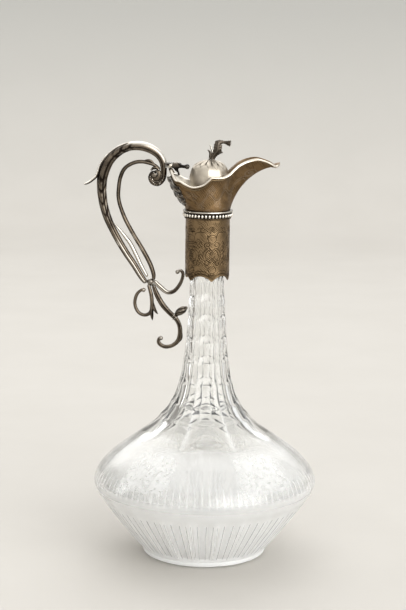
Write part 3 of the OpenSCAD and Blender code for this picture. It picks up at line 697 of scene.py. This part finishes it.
def acanthus():
    """The cast leaf on the back of the bowl: ribbed lobes, a raised stem and a notched edge."""
    start, length = 0.16, 0.7
    s = np.linspace(start, start + length, 70)
    top, low, marks = [], [], []
    for q in np.linspace(-1, 1, 81):
        f = (s - start) / length
        wavy = 1 - 0.13 * np.abs(np.sin(f * pi * 5))
        reach = 7 * np.sin(np.radians(np.minimum(90, 20 + (s - start) * 260))) ** 0.8 * wavy
        veins = np.abs(np.sin(pi * (4 * f - 1.8 * abs(q) ** 0.8)))
        stem = bell(q, 0.09)
        # painted shade between the ribs, painted highlights on the rib crests and the stem
        marks.append(0.8 * (1 - veins) ** 2 - 0.4 * smooth(0.8, 1, veins) - 0.4 * stem + 0.3)
        thick = (0.5 + 2.7 * np.cos(pi / 2 * abs(q) * 0.98) ** 0.8
                 * np.sin(pi / 2 * np.minimum(1, (s - start) * 3.2 + 0.08)) ** 0.9)
        thick = thick * (0.64 + 0.36 * veins) + 0.35 * stem * smooth(0, 0.1, f)
        pts = np.array([bowl_pt(q * w, t) for w, t in zip(reach, s)])
        nrm = np.array([bowl_normal(q * w, [t])[0] for w, t in zip(reach, s)])
        top.append(pts + nrm * thick[:, None])
        low.append(pts + nrm * 0.03)
    grid = np.concatenate([np.array(top), np.array(low)[:, ::-1]], 1)
    verts, faces = tube_mesh(grid, grid[0].mean(0), grid[-1].mean(0))
    shade = np.concatenate([np.array(marks), np.zeros_like(marks)], 1)
    make("mount", verts, faces, "jug", DARK_CAST, ["mount_leaf"], "cast_silver", sharp=55, marks=shade)


sleeve()
reed()
beads()
wire()
bowl()
rim()
acanthus()

# ---- Handle: cast strands in the plane of the handle, as [x, z, radius] ----

MAIN = [
    [-44.4, 198.6, 1.9], [-47.2, 202.4, 2.2], [-52.1, 210.4, 2.4], [-57.4, 218.2, 2.5],
    [-62.6, 226.8, 2.6], [-67.4, 235.8, 2.7], [-71.3, 244.8, 3], [-73.8, 254, 3.2],
    [-74.9, 264, 3.5], [-74.1, 273.6, 3.9], [-70, 283.8, 3.9], [-63.6, 290.3, 3.6],
    [-56.6, 293.7, 3.3], [-49.6, 294.5, 3.3], [-42.4, 293, 3.2], [-36, 289.2, 2.9],
    [-32.4, 284, 2.6], [-31.5, 277.6, 2.3], [-32.2, 271.8, 2.2], [-35.2, 268.5, 2.1],
    [-38.9, 269.2, 2], [-40.6, 272.4, 1.8], [-39.2, 275.4, 1.7], [-36.9, 274.9, 1.9],
]
SPUR = [
    [-69, 289.7, 0.6], [-72.9, 286.1, 0.8], [-76, 281, 0.95], [-77.6, 276.2, 1.15], [-79, 272.9, 1.2],
    [-80.9, 270.9, 1.2], [-83.5, 268.9, 1.1], [-85.8, 267.7, 0.95], [-86.9, 267.4, 0.7],
]
INNER_STRAND = [
    [-34.9, 278.9, 0.9], [-38.5, 281.5, 1.2], [-46.4, 283.5, 1.4], [-52.7, 282.6, 1.4],
    [-58.7, 278.8, 1.4], [-61.9, 272.3, 1.4], [-63.1, 264.6, 1.4], [-63.2, 257.6, 1.4],
    [-61.4, 250.4, 1.4], [-57.9, 241.8, 1.5], [-52.2, 231.4, 1.5], [-45.9, 221, 1.6],
    [-40.6, 211, 1.6], [-38.2, 204, 1.5], [-38, 200.7, 1.3],
]
STRIP = [
    [-66, 239.4, 0.4], [-63.2, 236.2, 1], [-58.9, 231, 1.4], [-54.6, 225.2, 1.6],
    [-50.8, 217.8, 1.6], [-47, 209.8, 1.5], [-43, 202.6, 1.2],
]
HOOK = [
    [-37, 198, 1.5], [-33.3, 194.4, 1.8], [-28.2, 190.6, 1.6], [-23.6, 191.4, 1.5], [-20, 195.3, 1.4],
    [-17.8, 200, 1.3], [-17.2, 204.2, 1.3], [-18.9, 206.4, 1.2], [-21, 205.4, 1.3],
]
LOWER = [
    [-38, 194.7, 1.5], [-35.3, 188.2, 2], [-31.2, 181.2, 2.1], [-26.4, 175.8, 1.9], [-22.3, 172, 1.8],
    [-19.6, 167.4, 1.7], [-18.8, 161.6, 1.8], [-20.2, 155.6, 1.7], [-24.6, 151.8, 1.5],
    [-30, 151.1, 1.5], [-33.8, 153.5, 1.5], [-34, 156.5, 1.2], [-32.4, 157.4, 1.3],
]
BUD = [
    [-22.1, 174.6, 1.2], [-20.6, 175.6, 2.2], [-18.5, 177, 2.8], [-16.4, 178.4, 2.6], [-14.8, 179.4, 1.3],
]
LOOP = [
    [-41.4, 195, 1.3], [-39.6, 188.2, 1.5], [-39.1, 180.6, 1.5], [-40.4, 175.6, 1.4],
    [-44.5, 173.9, 1.3], [-49, 176.2, 1.3], [-51.3, 182, 1.3], [-50.2, 188.2, 1.3],
    [-47.4, 191.5, 1.1], [-45.3, 192.2, 1.4],
]
KNOT, KNOT_R = (-40.3, 0, 198), 2.5
WIDE = 1.15


def reeds(count, depth, turn=0.0, sharp=3.0):
    """Rounded ribs along a strand with narrow grooves between: share of the radius, and the groove mark."""
    def at(a, u):
        part = (a * count / (2 * pi) + turn) % 1
        groove = np.abs(2 * part - 1) ** sharp
        return 1 - depth * groove, groove
    return at


LEAF = reeds(3, 0.22, 0.5, 2.5)


def strand(points, shape=LEAF, wide=WIDE, steps=8, sides=48, gleam=0.0, cap=1.0):
    """Skin of a cast strand with its groove marks. gleam brightens it all along, a painted highlight on the
    finial's small leaf; cap is how far its ends are rounded.
    """
    last = len(points) - 1
    us = np.linspace(0, last, last * steps + 1)
    c = spline(points, steps)
    t = unit(np.gradient(c[:, :2], axis=0))
    th = (np.arange(sides) + 0.5) * 2 * pi / sides
    rings, marks = [], []

    def ring(i, back, k):
        x, z, r = c[i]
        tx, tz = t[i]
        share, groove = shape(th, us[i])
        rr = r * k * share
        rings.append(np.stack([x + tx * back * r - tz * rr * np.cos(th), rr * wide * np.sin(th),
                               z + tz * back * r + tx * rr * np.cos(th)], 1))
        marks.append(groove - gleam)

    for k in (0.35, 0.66, 0.88):
        ring(0, -cap * sqrt(1 - k * k), k)
    for i in range(len(c)):
        ring(i, 0, 1)
    for k in (0.88, 0.66, 0.35):
        ring(len(c) - 1, cap * sqrt(1 - k * k), k)

    def tip(i, s):
        return (c[i, 0] + s * t[i, 0] * c[i, 2], 0, c[i, 1] + s * t[i, 1] * c[i, 2])

    verts, faces = tube_mesh(np.array(rings), tip(0, -cap), tip(len(c) - 1, cap))
    return verts, faces, np.concatenate([np.ravel(marks), [0, 0]])


def cast(name, node, parts, body="jug", material=CAST, slot="cast_silver"):
    """A cast piece from its strands and balls."""
    marks = np.concatenate([p[2] if len(p) > 2 else np.zeros(len(p[0])) for p in parts])
    verts, faces = join([p[:2] for p in parts])
    make(name, verts, faces, body, material, [node], slot, sharp=50, marks=marks)


def main_shape(a, u):
    """Five ribs, smooth over the arch's top, with leaf cuts, a painted highlight on the top, on the back
    below it and on the sides near the foot, and a dark curl with painted glints.
    """
    share, groove = reeds(5, 0.2, 0.5)(a, u)
    outside = np.clip(np.cos(a), 0, 1)
    smooth_top = float(smooth(11.4, 12.6, u) * (1 - smooth(15.8, 17, u))) * smooth(0.25, 0.7, np.cos(a))
    share = share + (1 - share) * 0.85 * smooth_top + 0.1 * smooth_top * float(smooth(12.5, 14.5, u))
    groove = groove * (1 - 0.85 * smooth_top)
    leaf = np.abs(np.sin(pi * (1.15 * u + 1.5 * np.abs(np.sin(a))))) ** 5
    leafy = float(smooth(5.2, 6.2, u) * (1 - smooth(8.4, 9.2, u))
                  + smooth(10.2, 10.8, u) * (1 - smooth(12, 12.8, u)))
    cut = leaf * leafy * np.clip(np.abs(np.sin(a)) * 1.3, 0, 1)
    ridge = smooth(0.8, 0.97, outside) * float(smooth(8, 9, u) * (1 - smooth(11.6, 12.6, u)))
    side = bell(np.abs(np.sin(a)) - 1, 0.05) * float(1 - smooth(3.5, 4.8, u))
    # painted highlight: bright along the arch's top, on the outer ridge and on the sides near the lower end
    painted_highlight = np.maximum(np.maximum(0.65 * smooth_top, 0.55 * ridge), 0.5 * side)
    curled = float(smooth(16.8, 18.2, u))
    # painted glints: bright specks on the dark curl
    painted_glints = 0.8 * (np.sin(11.3 * u + 2 * a) * np.sin(7.1 * u - 3 * a) > 0.72) * curled
    straight = np.maximum(groove, cut) * (1 - painted_highlight) - painted_highlight
    return share - 0.1 * cut, straight * (1 - curled) + (0.55 + 0.45 * groove) * curled - 1.6 * painted_glints


def spur_shape(a, u):
    """A leaf tip with a painted highlight on its back and painted shade on its grooved underside."""
    share, groove = reeds(2, 0.12, sharp=2.0)(a, u)
    return share, np.maximum(groove, smooth(-0.1, 0.5, np.cos(a))) - 1.2 * smooth(0.1, -0.5, np.cos(a))


def hook_shape(a, u):
    """Four ribs, with a painted highlight on the sides where the hook leaves the knot and on its curl."""
    share, groove = reeds(4, 0.15)(a, u)
    painted_highlight = 0.6 * float(1 - smooth(1.6, 2.8, u)) + 0.4 * float(smooth(6.4, 7.2, u))
    return share, groove - painted_highlight * smooth(0.2, 0.8, np.abs(np.sin(a)))


def bud_shape(a, u):
    part = (a * 6 / (2 * pi) + 0.35 * u) % 1
    groove = np.abs(2 * part - 1) ** 2.5
    return 1 - 0.2 * groove, groove


def handle():
    """Each of its castings stands for the node of its name with handle_ before it."""
    pieces = {}
    pieces["main_scroll"] = [
        strand(MAIN, main_shape, steps=12, sides=60),
        strand([[-34.9, 277.7, 0.9], [-36.6, 279.3, 1.2], [-38.6, 279.2, 1.2], [-40.1, 277.9, 0.7]]),
        ball((-38.0, 0, 274.3), (2.5, 2.4, 2.5), 16, 28), ball((-36.0, 0, 273.6), (4.0, 0.9, 4.3), 10, 28)]
    pieces["thumb_spur"] = [strand(SPUR, spur_shape, wide=2.0)]
    pieces["inner_scroll"] = [
        strand(INNER_STRAND, reeds(4, 0.2, 0.5)),
        strand([[-38.5, 282.1, 0.7], [-40.4, 284.0, 1.0], [-42.8, 284.6, 0.9], [-45.2, 284.3, 0.4]])]
    pieces["leaf_strip"] = [strand(STRIP, reeds(2, 0.2), wide=1.3, gleam=0.7)]
    x, _, z = KNOT
    pieces["knot"] = [
        (*ball(KNOT, (KNOT_R, KNOT_R, KNOT_R), 22, 36), np.full(22 * 36 + 2, -0.15)),
        ball((x + 1.5, 0, z - 1.2), (2.15, 2.3, 0.75), 10, 36, axis=(1, 0, -0.85))]
    pieces["sleeve_hook"] = [
        strand(HOOK, hook_shape), ball((-21.1, 0, 205.3), (1.5, 1.7, 1.5))]
    pieces["lower_scroll"] = [
        strand(LOWER, reeds(4, 0.14), steps=10), ball((-32.6, 0, 157.2), (1.6, 1.8, 1.6)),
        ball((-22.4, 0, 172.2), (2.5, 2.75, 0.75), 10, 32, axis=(0.6, 0, -0.8)),
        ball((-24.0, 0, 173.7), (2.3, 2.5, 0.5), 10, 32, axis=(0.7, 0, -0.72)),
        strand([[-19.1, 164.5, 0.5], [-18.1, 161, 1.0], [-17.9, 157.6, 0.9], [-18.6, 155.2, 0.4]], wide=1.6)]
    pieces["rest_bud"] = [strand(BUD, bud_shape)]
    pieces["back_loop"] = [
        strand(LOOP, reeds(2, 0.1)), ball((-45.2, 0, 192.1), (1.6, 1.8, 1.6)),
        strand([[-39.3, 181, 1.1], [-39.3, 176.2, 1.4], [-39, 172.6, 1.1], [-38.7, 170.4, 0.35]], wide=1.5),
        strand([[-39, 184, 1.0], [-37.9, 179.8, 1.2], [-36.4, 176.6, 1.0], [-35, 174.9, 0.35]])]
    for name, parts in pieces.items():
        cast(name, "handle_" + name, parts, slot="polished_silver" if name == "leaf_strip" else "cast_silver")


handle()

# ---- Hinge ----

HINGE_X, HINGE_Z, PIN_R, KNUCKLE_R = -26.7, 281.4, 0.8, 1.8
STRAP_W = 4.0
CURL_X, CURL_Z = -14.9, 280.4  # middle of the strap's scroll end
LUG_IN = STRAP_W / 2 + 0.15
LUG_OUT = LUG_IN + 2.8


HOLE_ANGLES = [2 * pi * k / 28 for k in range(28)]


def bar(outline, y0, y1, bevel, hole=None):
    """An outline of (x, z) points made thick from y0 to y1 with softened edges, pierced by a round hole."""
    bm = bmesh.new()
    edges = []

    def add_loop(points):
        loop = [bm.verts.new((x, y0, z)) for x, z in points]
        edges.extend(bm.edges.new((a, b)) for a, b in zip(loop, loop[1:] + loop[:1]))

    add_loop(outline)
    if hole:
        x, z, r = hole
        add_loop([(x + r * cos(a), z + r * sin(a)) for a in HOLE_ANGLES])
    bmesh.ops.triangle_fill(bm, use_beauty=True, use_dissolve=False, edges=edges)
    got = bmesh.ops.extrude_face_region(bm, geom=list(bm.faces))
    for v in got["geom"]:
        if isinstance(v, bmesh.types.BMVert):
            v.co.y = y1
    bmesh.ops.recalc_face_normals(bm, faces=bm.faces)
    rims = [e for e in bm.edges if len(e.link_faces) == 2 and e.calc_face_angle(0) > radians(60)
            and abs(e.verts[0].co.y - e.verts[1].co.y) < 1e-6]
    bmesh.ops.bevel(bm, geom=rims, offset=bevel, segments=3, profile=0.6, affect="EDGES", clamp_overlap=True)
    verts = [tuple(v.co) for v in bm.verts]
    bm.verts.index_update()
    faces = [tuple(v.index for v in f.verts) for f in bm.faces]
    bm.free()
    return verts, faces


def hinge():
    back = HINGE_X - 3.4
    half = [(HINGE_X + KNUCKLE_R * sin(a), HINGE_Z + KNUCKLE_R * cos(a))
            for a in np.linspace(0, pi, 18)]
    lug = half + [(back, HINGE_Z - KNUCKLE_R), (back, HINGE_Z + KNUCKLE_R)]
    hole = (HINGE_X, HINGE_Z, PIN_R + 0.03)
    v, f = join([bar(lug, -LUG_OUT, -LUG_IN, 0.2, hole), bar(lug, LUG_IN, LUG_OUT, 0.2, hole)])
    # painted shade: the lugs are darkened all over, like the strap around them
    make("lugs", v, f, "jug", CAST, ["hinge_lugs"], "cast_silver", sharp=40, marks=np.full(len(v), 0.75))
    reach = LUG_OUT + 0.1
    sides = 32
    th = np.arange(sides) * 2 * pi / sides
    rows = [(-reach - 0.8, 0.7), (-reach - 0.62, 1.08), (-reach - 0.3, 1.25), (-reach, 1.25), (-reach, PIN_R)]
    rows += [(-y, r) for y, r in rows[::-1]]
    grid = np.stack([circle(th, r, y) for y, r in rows])[..., [0, 2, 1]] + (HINGE_X, 0, HINGE_Z)
    v, f = tube_mesh(grid, (HINGE_X, -reach - 0.86, HINGE_Z), (HINGE_X, reach + 0.86, HINGE_Z))
    make("pin", v, f, "jug", BRIGHT, ["hinge_pin"], "polished_silver", sharp=40)


def arc(x, z, r, start, end, count):
    """Points (x, z) of an arc from start to end, in degrees."""
    return [(x + r * cos(a), z + r * sin(a)) for a in np.radians(np.linspace(start, end, count))]


def strap():
    """The cast strap: its knuckle, a flat bar with a step, a claw down to the cover, and a scroll end."""
    knuckle = arc(HINGE_X, HINGE_Z, KNUCKLE_R, -60, -290, 22)
    top = [(-25.6, 283.15), (-24.2, 283.45), (-22.2, 283.5), (-20.9, 282.9), (-19.4, 282.1), (-18.2, 281.6),
           (-17.1, 281.45), (-16.2, 281.7)]
    curl = arc(CURL_X, CURL_Z, 1.7, 115, -130, 18)
    under = [(-16.4, 279.3), (-17.8, 279.45), (-19.2, 279.6), (-20.6, 279.35), (-21.2, 278.4), (-20.5, 275.8),
             (-21.8, 276.4), (-23.4, 277.7), (-24.6, 279.2)]
    hole = (HINGE_X, HINGE_Z, PIN_R + 0.05)
    parts = [bar(knuckle + top + curl + under, -STRAP_W / 2, STRAP_W / 2, 0.35, hole)]
    foot = [(-20.5, 277.4), (-20.1, 275.4), (-20.1, 273.7), (-21.4, 274.2), (-21.6, 275.6), (-22.0, 277.4)]
    parts.append(bar(foot, -1.7, 1.7, 0.2))
    for y in (-2.0, 2.0):  # the scroll end's raised eyes
        parts.append(ball((CURL_X, y * 0.93, CURL_Z), (1.15, 0.5, 1.15)))
    parts.append(ball((-20.2, 0, 282.3), (1.5, 1.9, 0.85), 12, 20, axis=(0.55, 0, 0.83)))
    v, f = join(parts)
    # painted highlight along the top of the bar, painted dark reflection on the rest of the strap
    gleam = smooth(282.9, 283.4, v[:, 2]) * smooth(-25.5, -24.5, v[:, 0])
    make("strap", v, f, "lid", DARK_CAST, ["lid_strap"], "cast_silver", sharp=40, marks=0.95 - 1.3 * gleam)


hinge()
strap()

# ---- Lid ----

LID_X, LID_T, LID_BASE_R, LID_RIM_W, LID_TUCK = 1.4, 0.8, 14.6, 0.9, 0.15
LID_HALF, LID_TURN, LID_EDGE_S, LID_GAP, LID_FRONT = 18, 22, 0.9, 0.65, (15.6, 273.6)
LID_WALL_N, LID_VALLEY = 13, 5.6
STUD_R, DOME_TOP = 1.0, 285.0
DOME = [(STUD_R + 0.15, 0), (4, -0.2), (7.5, -1.2), (10.6, -2.9), (12.9, -5.4), (14, -8.4)]


def lid_edge(i):
    """The lid's edge, from the hinge at 0 round the near side to the front at LID_HALF, and back."""
    n = 2 * LID_HALF
    q = i % n
    side = 1 if q <= LID_HALF else -1
    q = q if side > 0 else n - q
    k = LID_TURN * min(q, LID_WALL_N) / LID_WALL_N
    w = inside_pt(k, [LID_EDGE_S], SHEET + LID_GAP)[0]
    if q > LID_WALL_N:
        f = pi / 2 * (q - LID_WALL_N) / (LID_HALF - LID_WALL_N)
        y = w[1] * cos(f) * (1 - LID_TUCK * sin(2 * f))
        w = np.array([mix(w[0], LID_FRONT[0], sin(f)), y, mix(w[2], LID_FRONT[1], sin(f))])
    return w * (1, side, 1)


def lid_column(i, drop):
    e = lid_edge(i)
    arm = e[:2] - (LID_X, 0)
    reach = np.linalg.norm(arm)
    d = arm / reach
    fit = min(1, (reach - LID_RIM_W) / LID_BASE_R)
    base = e[2] + 0.6 - LID_VALLEY * max(0, -d[0]) ** 4
    brow = DOME_TOP + DOME[-1][1]
    pts = []
    for n, (r, z) in enumerate(DOME):
        off = 0 if n == 0 else drop * (1 if r > 12 else 0.3)
        pts.append([fit * (r - off), DOME_TOP + z - drop * (0.3 if r > 13 else 1)])
    pts += [[fit * LID_BASE_R - drop, (brow + base) / 2 - 0.2 * drop],
            [fit * LID_BASE_R + 0.1 - 0.6 * drop, base - 0.8 * drop]]
    out = [[LID_X + d[0] * r, d[1] * r, z] for r, z in pts]
    return np.array(out + [[e[0], e[1], e[2] - drop]]), d


def lid():
    stations, fine = 216, 40
    rings, marks = [], []
    for i in np.arange(stations) * 2 * LID_HALF / stations:
        up, d = lid_column(i, 0)
        low, _ = lid_column(i, LID_T)
        u = np.linspace(0, 1, fine)
        curve = np.array([spline_at(up[:-1], q * (len(up) - 2)) for q in u])
        # leaves chased round the finial
        a = atan2(d[1], d[0])
        r = np.hypot(curve[:, 0] - LID_X, curve[:, 1])
        ray = np.abs(np.sin(6.5 * a)) ** 0.7
        tip = 6 + 6.2 * ray
        past_stud = smooth(1.3, 2.2, r)
        leaf = (1 - smooth(tip - 0.8, tip, r)) * past_stud
        vein = (1 - ray) ** 1.5 * (1 - smooth(9, 12.5, r)) * past_stud
        fold = (1 - np.abs(np.sin(13 * a))) ** 3 * (1 - smooth(7, 11, r)) * past_stud
        curve[:, 2] += 0.35 * leaf - 0.4 * vein - 0.15 * fold
        edge = [mix(up[-2], up[-1], q) + (0, 0, 0.22 * sin(pi * q)) for q in (0.3, 0.6, 0.85)]
        rim_round = [up[-1] - (0, 0, 0.12), up[-1] - (0, 0, LID_T * 0.6)]
        under = [spline_at(low[:-1], q * (len(low) - 2)) for q in np.linspace(1, 0, 14)]
        rings.append(np.concatenate([curve, edge, rim_round, [low[-1]], under]))
        crease = bell(u - 1, 0.03)
        outline = (leaf > 0.02) * (leaf < 0.6)
        shade = np.clip(vein + 0.6 * fold + 0.5 * outline + 0.3 * smooth(0.8, 0.93, u), 0, 1)
        marks.append(np.concatenate([shade * (1 - crease) - 0.8 * crease, [-0.5, -0.2, -0.6],
                                     np.zeros(len(rim_round) + 1 + len(under))]))
    make("lid", *closed_mesh(np.array(rings)), "lid", LID, ["lid_cover"], "lid_silver", sharp=45, marks=marks)


lid()

# ---- Finial ----

# Cast leaf ribbon from its foot to the flared tip: [x, z, half width in the plane]
LEAF_RIBBON = [
    [2.1, 284.9, 2.5], [2.9, 287.4, 2.2], [4.4, 289.7, 2.6], [6.1, 292.0, 3.2], [6.5, 294.7, 3.2],
    [7.0, 297.0, 2.9], [9.0, 297.9, 1.6], [11.3, 297.7, 1.15], [13.3, 297.35, 1.8], [15.2, 297.0, 2.5],
]


def ribbon_shape(a, u):
    """A midrib with veins that slant to both edges, in the angle a about the ribbon."""
    side = np.abs(np.cos(a))
    vein = np.abs(np.sin(pi * (1.6 * u - 0.9 * side))) ** 5 * side
    rib = bell(side - 0.05, 0.16)
    notch = 0.1 * np.abs(np.sin(pi * 1.6 * u)) * (side > 0.9)
    beside = bell(side - 0.3, 0.1)
    return 1 - 0.1 * vein + 0.12 * rib - notch, np.clip(vein + 0.5 * beside, 0, 1)


def finial():
    parts = [strand(LEAF_RIBBON, ribbon_shape, wide=0.52, steps=9, sides=56, cap=0.2),
             strand([[0.7, 285.2, 0.7], [1.2, 287.4, 1.0], [1.3, 289.6, 0.95], [0.6, 291.3, 0.75],
                     [-0.3, 292.0, 0.45]], wide=1.3),
             # gleam paints a highlight along this small curled leaf
             strand([[2.7, 290.6, 0.7], [2.1, 292.8, 0.75], [1.6, 294.6, 0.6], [0.7, 295.8, 0.35]], wide=1.4,
                    gleam=0.8),
             strand([[7.4, 290.2, 0.9], [8.9, 290.6, 0.8], [9.7, 290.5, 0.4]], wide=1.3),
             ball((2.2, 0, 285.3), (2.7, 1.7, 0.75), 10, 36, lobes=9)]
    cast("finial_leaf", "finial", parts, "lid", DARK_CAST)


finial()

# ---- Pieces kept from the frame ----

for key in ("pouring_collar", "finial_stud", "finial_washer", "finial_nut", "plaster_bed"):
    slots = nodes[key].data.materials
    slots.clear()
    slots.append(PLASTER if key == "plaster_bed" else BRIGHT)

# ---- Stage, light and camera ----

def backdrop():
    """A pale floor that curves up into a wall far behind the jug."""
    path = [(-2.6, 0.0), (1.6, 0.0)]
    path += [(1.6 + 0.6 * sin(a), 0.6 - 0.6 * cos(a)) for a in np.linspace(0.1, pi / 2, 12)]
    path += [(2.2, 0.65)]
    verts = [(x, y, z) for y, z in path for x in (-3.2, 3.2)]
    me = bpy.data.meshes.new("floor")
    me.from_pydata(verts, [], [(2 * i, 2 * i + 1, 2 * i + 3, 2 * i + 2) for i in range(len(path) - 1)])
    me.polygons.foreach_set("use_smooth", [True] * len(me.polygons))
    m = Material("floor")
    pale = m.blend(m.spread(m.noise(9, 5.0), 0.35, 0.65), (0.495, 0.475, 0.44), (0.48, 0.46, 0.425))
    height = m.add("SeparateXYZ", "Z", ("Vector", m.place))
    m.set(Roughness=0.75, Specular_IOR_Level=0.2,
          Base_Color=m.blend(m.spread(height, 0.01, 0.4), pale, (0.36, 0.355, 0.335)))
    m.bump(m.noise(600, 2.0), 0.15, 0.0004)
    me.materials.append(m.data)
    obj = add_object("floor", me)


LIGHT_PLACE, LIGHT_AIM, LIGHT_SIZE, LIGHT_POWER = (-1.3, 0.15, 0.6), (0, 0, 0.2), (0.3, 0.8), 2


def side_light():
    """A narrow soft light on the left that draws lines along the metal."""
    light = bpy.data.lights.new("side_left", "AREA")
    light.shape = "RECTANGLE"
    light.size, light.size_y = LIGHT_SIZE
    light.energy = LIGHT_POWER
    back = unit(np.subtract(LIGHT_PLACE, LIGHT_AIM))
    side = unit(np.cross((0, 0, 1), back))
    turn = np.stack([side, np.cross(back, side), back], 1).tolist()
    obj = add_object("side_left", light)
    obj.matrix_world = Matrix([(*row, p) for row, p in zip(turn, LIGHT_PLACE)] + [(0, 0, 0, 1)])


SKY_UP, SKY_STRENGTH = (0.4, -0.1, 0.9), 1.15
SKY_STOPS = [(0.0, (0.25, 0.235, 0.21)), (0.2, (0.44, 0.42, 0.39)), (0.5, (0.88, 0.88, 0.87)),
             (1.0, (1.0, 1.0, 1.0))]
# soft bright patches: direction, cosines of their outer and inner edges, strength
SKY_PATCHES = [((0.58, -0.78, 0.38), 0.8, 0.97, 3.0), ((0.1, 0.25, 1.0), 0.6, 0.95, 0.5),
               ((0.7, -1.0, 0.02), 0.7, 0.95, 1.2), ((-0.7, -1.0, 0.02), 0.7, 0.95, 1.0),
               ((-0.1, 0.8, 0.6), 0.75, 0.95, 2.2)]


def sky():
    """Soft light all round: bright overhead and to the right, dull at the lower left."""
    world = bpy.data.worlds.new("studio")
    bpy.context.scene.world = world
    world.use_nodes = True
    tree = world.node_tree
    back = tree.nodes["Background"]
    coord = add_node(tree, "TexCoord")["Generated"]

    def facing(aim):
        return add_node(tree, "VectorMath", [(0, coord), (1, aim)], operation="DOT_PRODUCT")["Value"]

    ramp = tree.nodes.new("ShaderNodeValToRGB")
    fill(tree, ramp, "Fac", facing(SKY_UP))
    fill(tree, back, "Color", ramp.outputs["Color"])
    while len(ramp.color_ramp.elements) < len(SKY_STOPS):
        ramp.color_ramp.elements.new(0.5)
    for e, (at, c) in zip(ramp.color_ramp.elements, SKY_STOPS):
        e.position = at
        e.color = (*c, 1.0)
    fill(tree, back, "Strength", SKY_STRENGTH)
    light = back.outputs["Background"]
    for aim, outer, inner, strength in SKY_PATCHES:
        fade = add_node(tree, "MapRange", [("Value", facing(unit(aim))), ("From Min", outer),
                                           ("From Max", inner), ("To Min", 0.0), ("To Max", strength)],
                        interpolation_type="SMOOTHSTEP")["Result"]
        patch = add_node(tree, "Background", [("Strength", fade)])["Background"]
        light = add_node(tree, "AddShader", [(0, light), (1, patch)])["Shader"]
    fill(tree, tree.nodes["World Output"], "Surface", light)


CAMERA_PLACE, CAMERA_DIP, CAMERA_ROLL, LENS = (-0.00263, -1.15, 0.385), 0.17504, 0.7, 96.5


def camera():
    """The photograph's viewpoint, from fitting the ellipses of the foot, belly, beads and rim."""
    data = bpy.data.cameras.new("camera")
    data.lens = LENS
    obj = add_object("camera", data)
    obj.matrix_world = (Matrix.Translation(CAMERA_PLACE) @ Matrix.Rotation(pi / 2 - CAMERA_DIP, 4, "X")
                        @ Matrix.Rotation(radians(CAMERA_ROLL), 4, "Z"))
    bpy.context.scene.camera = obj


backdrop()
sky()
side_light()
camera()
bpy.context.scene.view_settings.view_transform = "Standard"
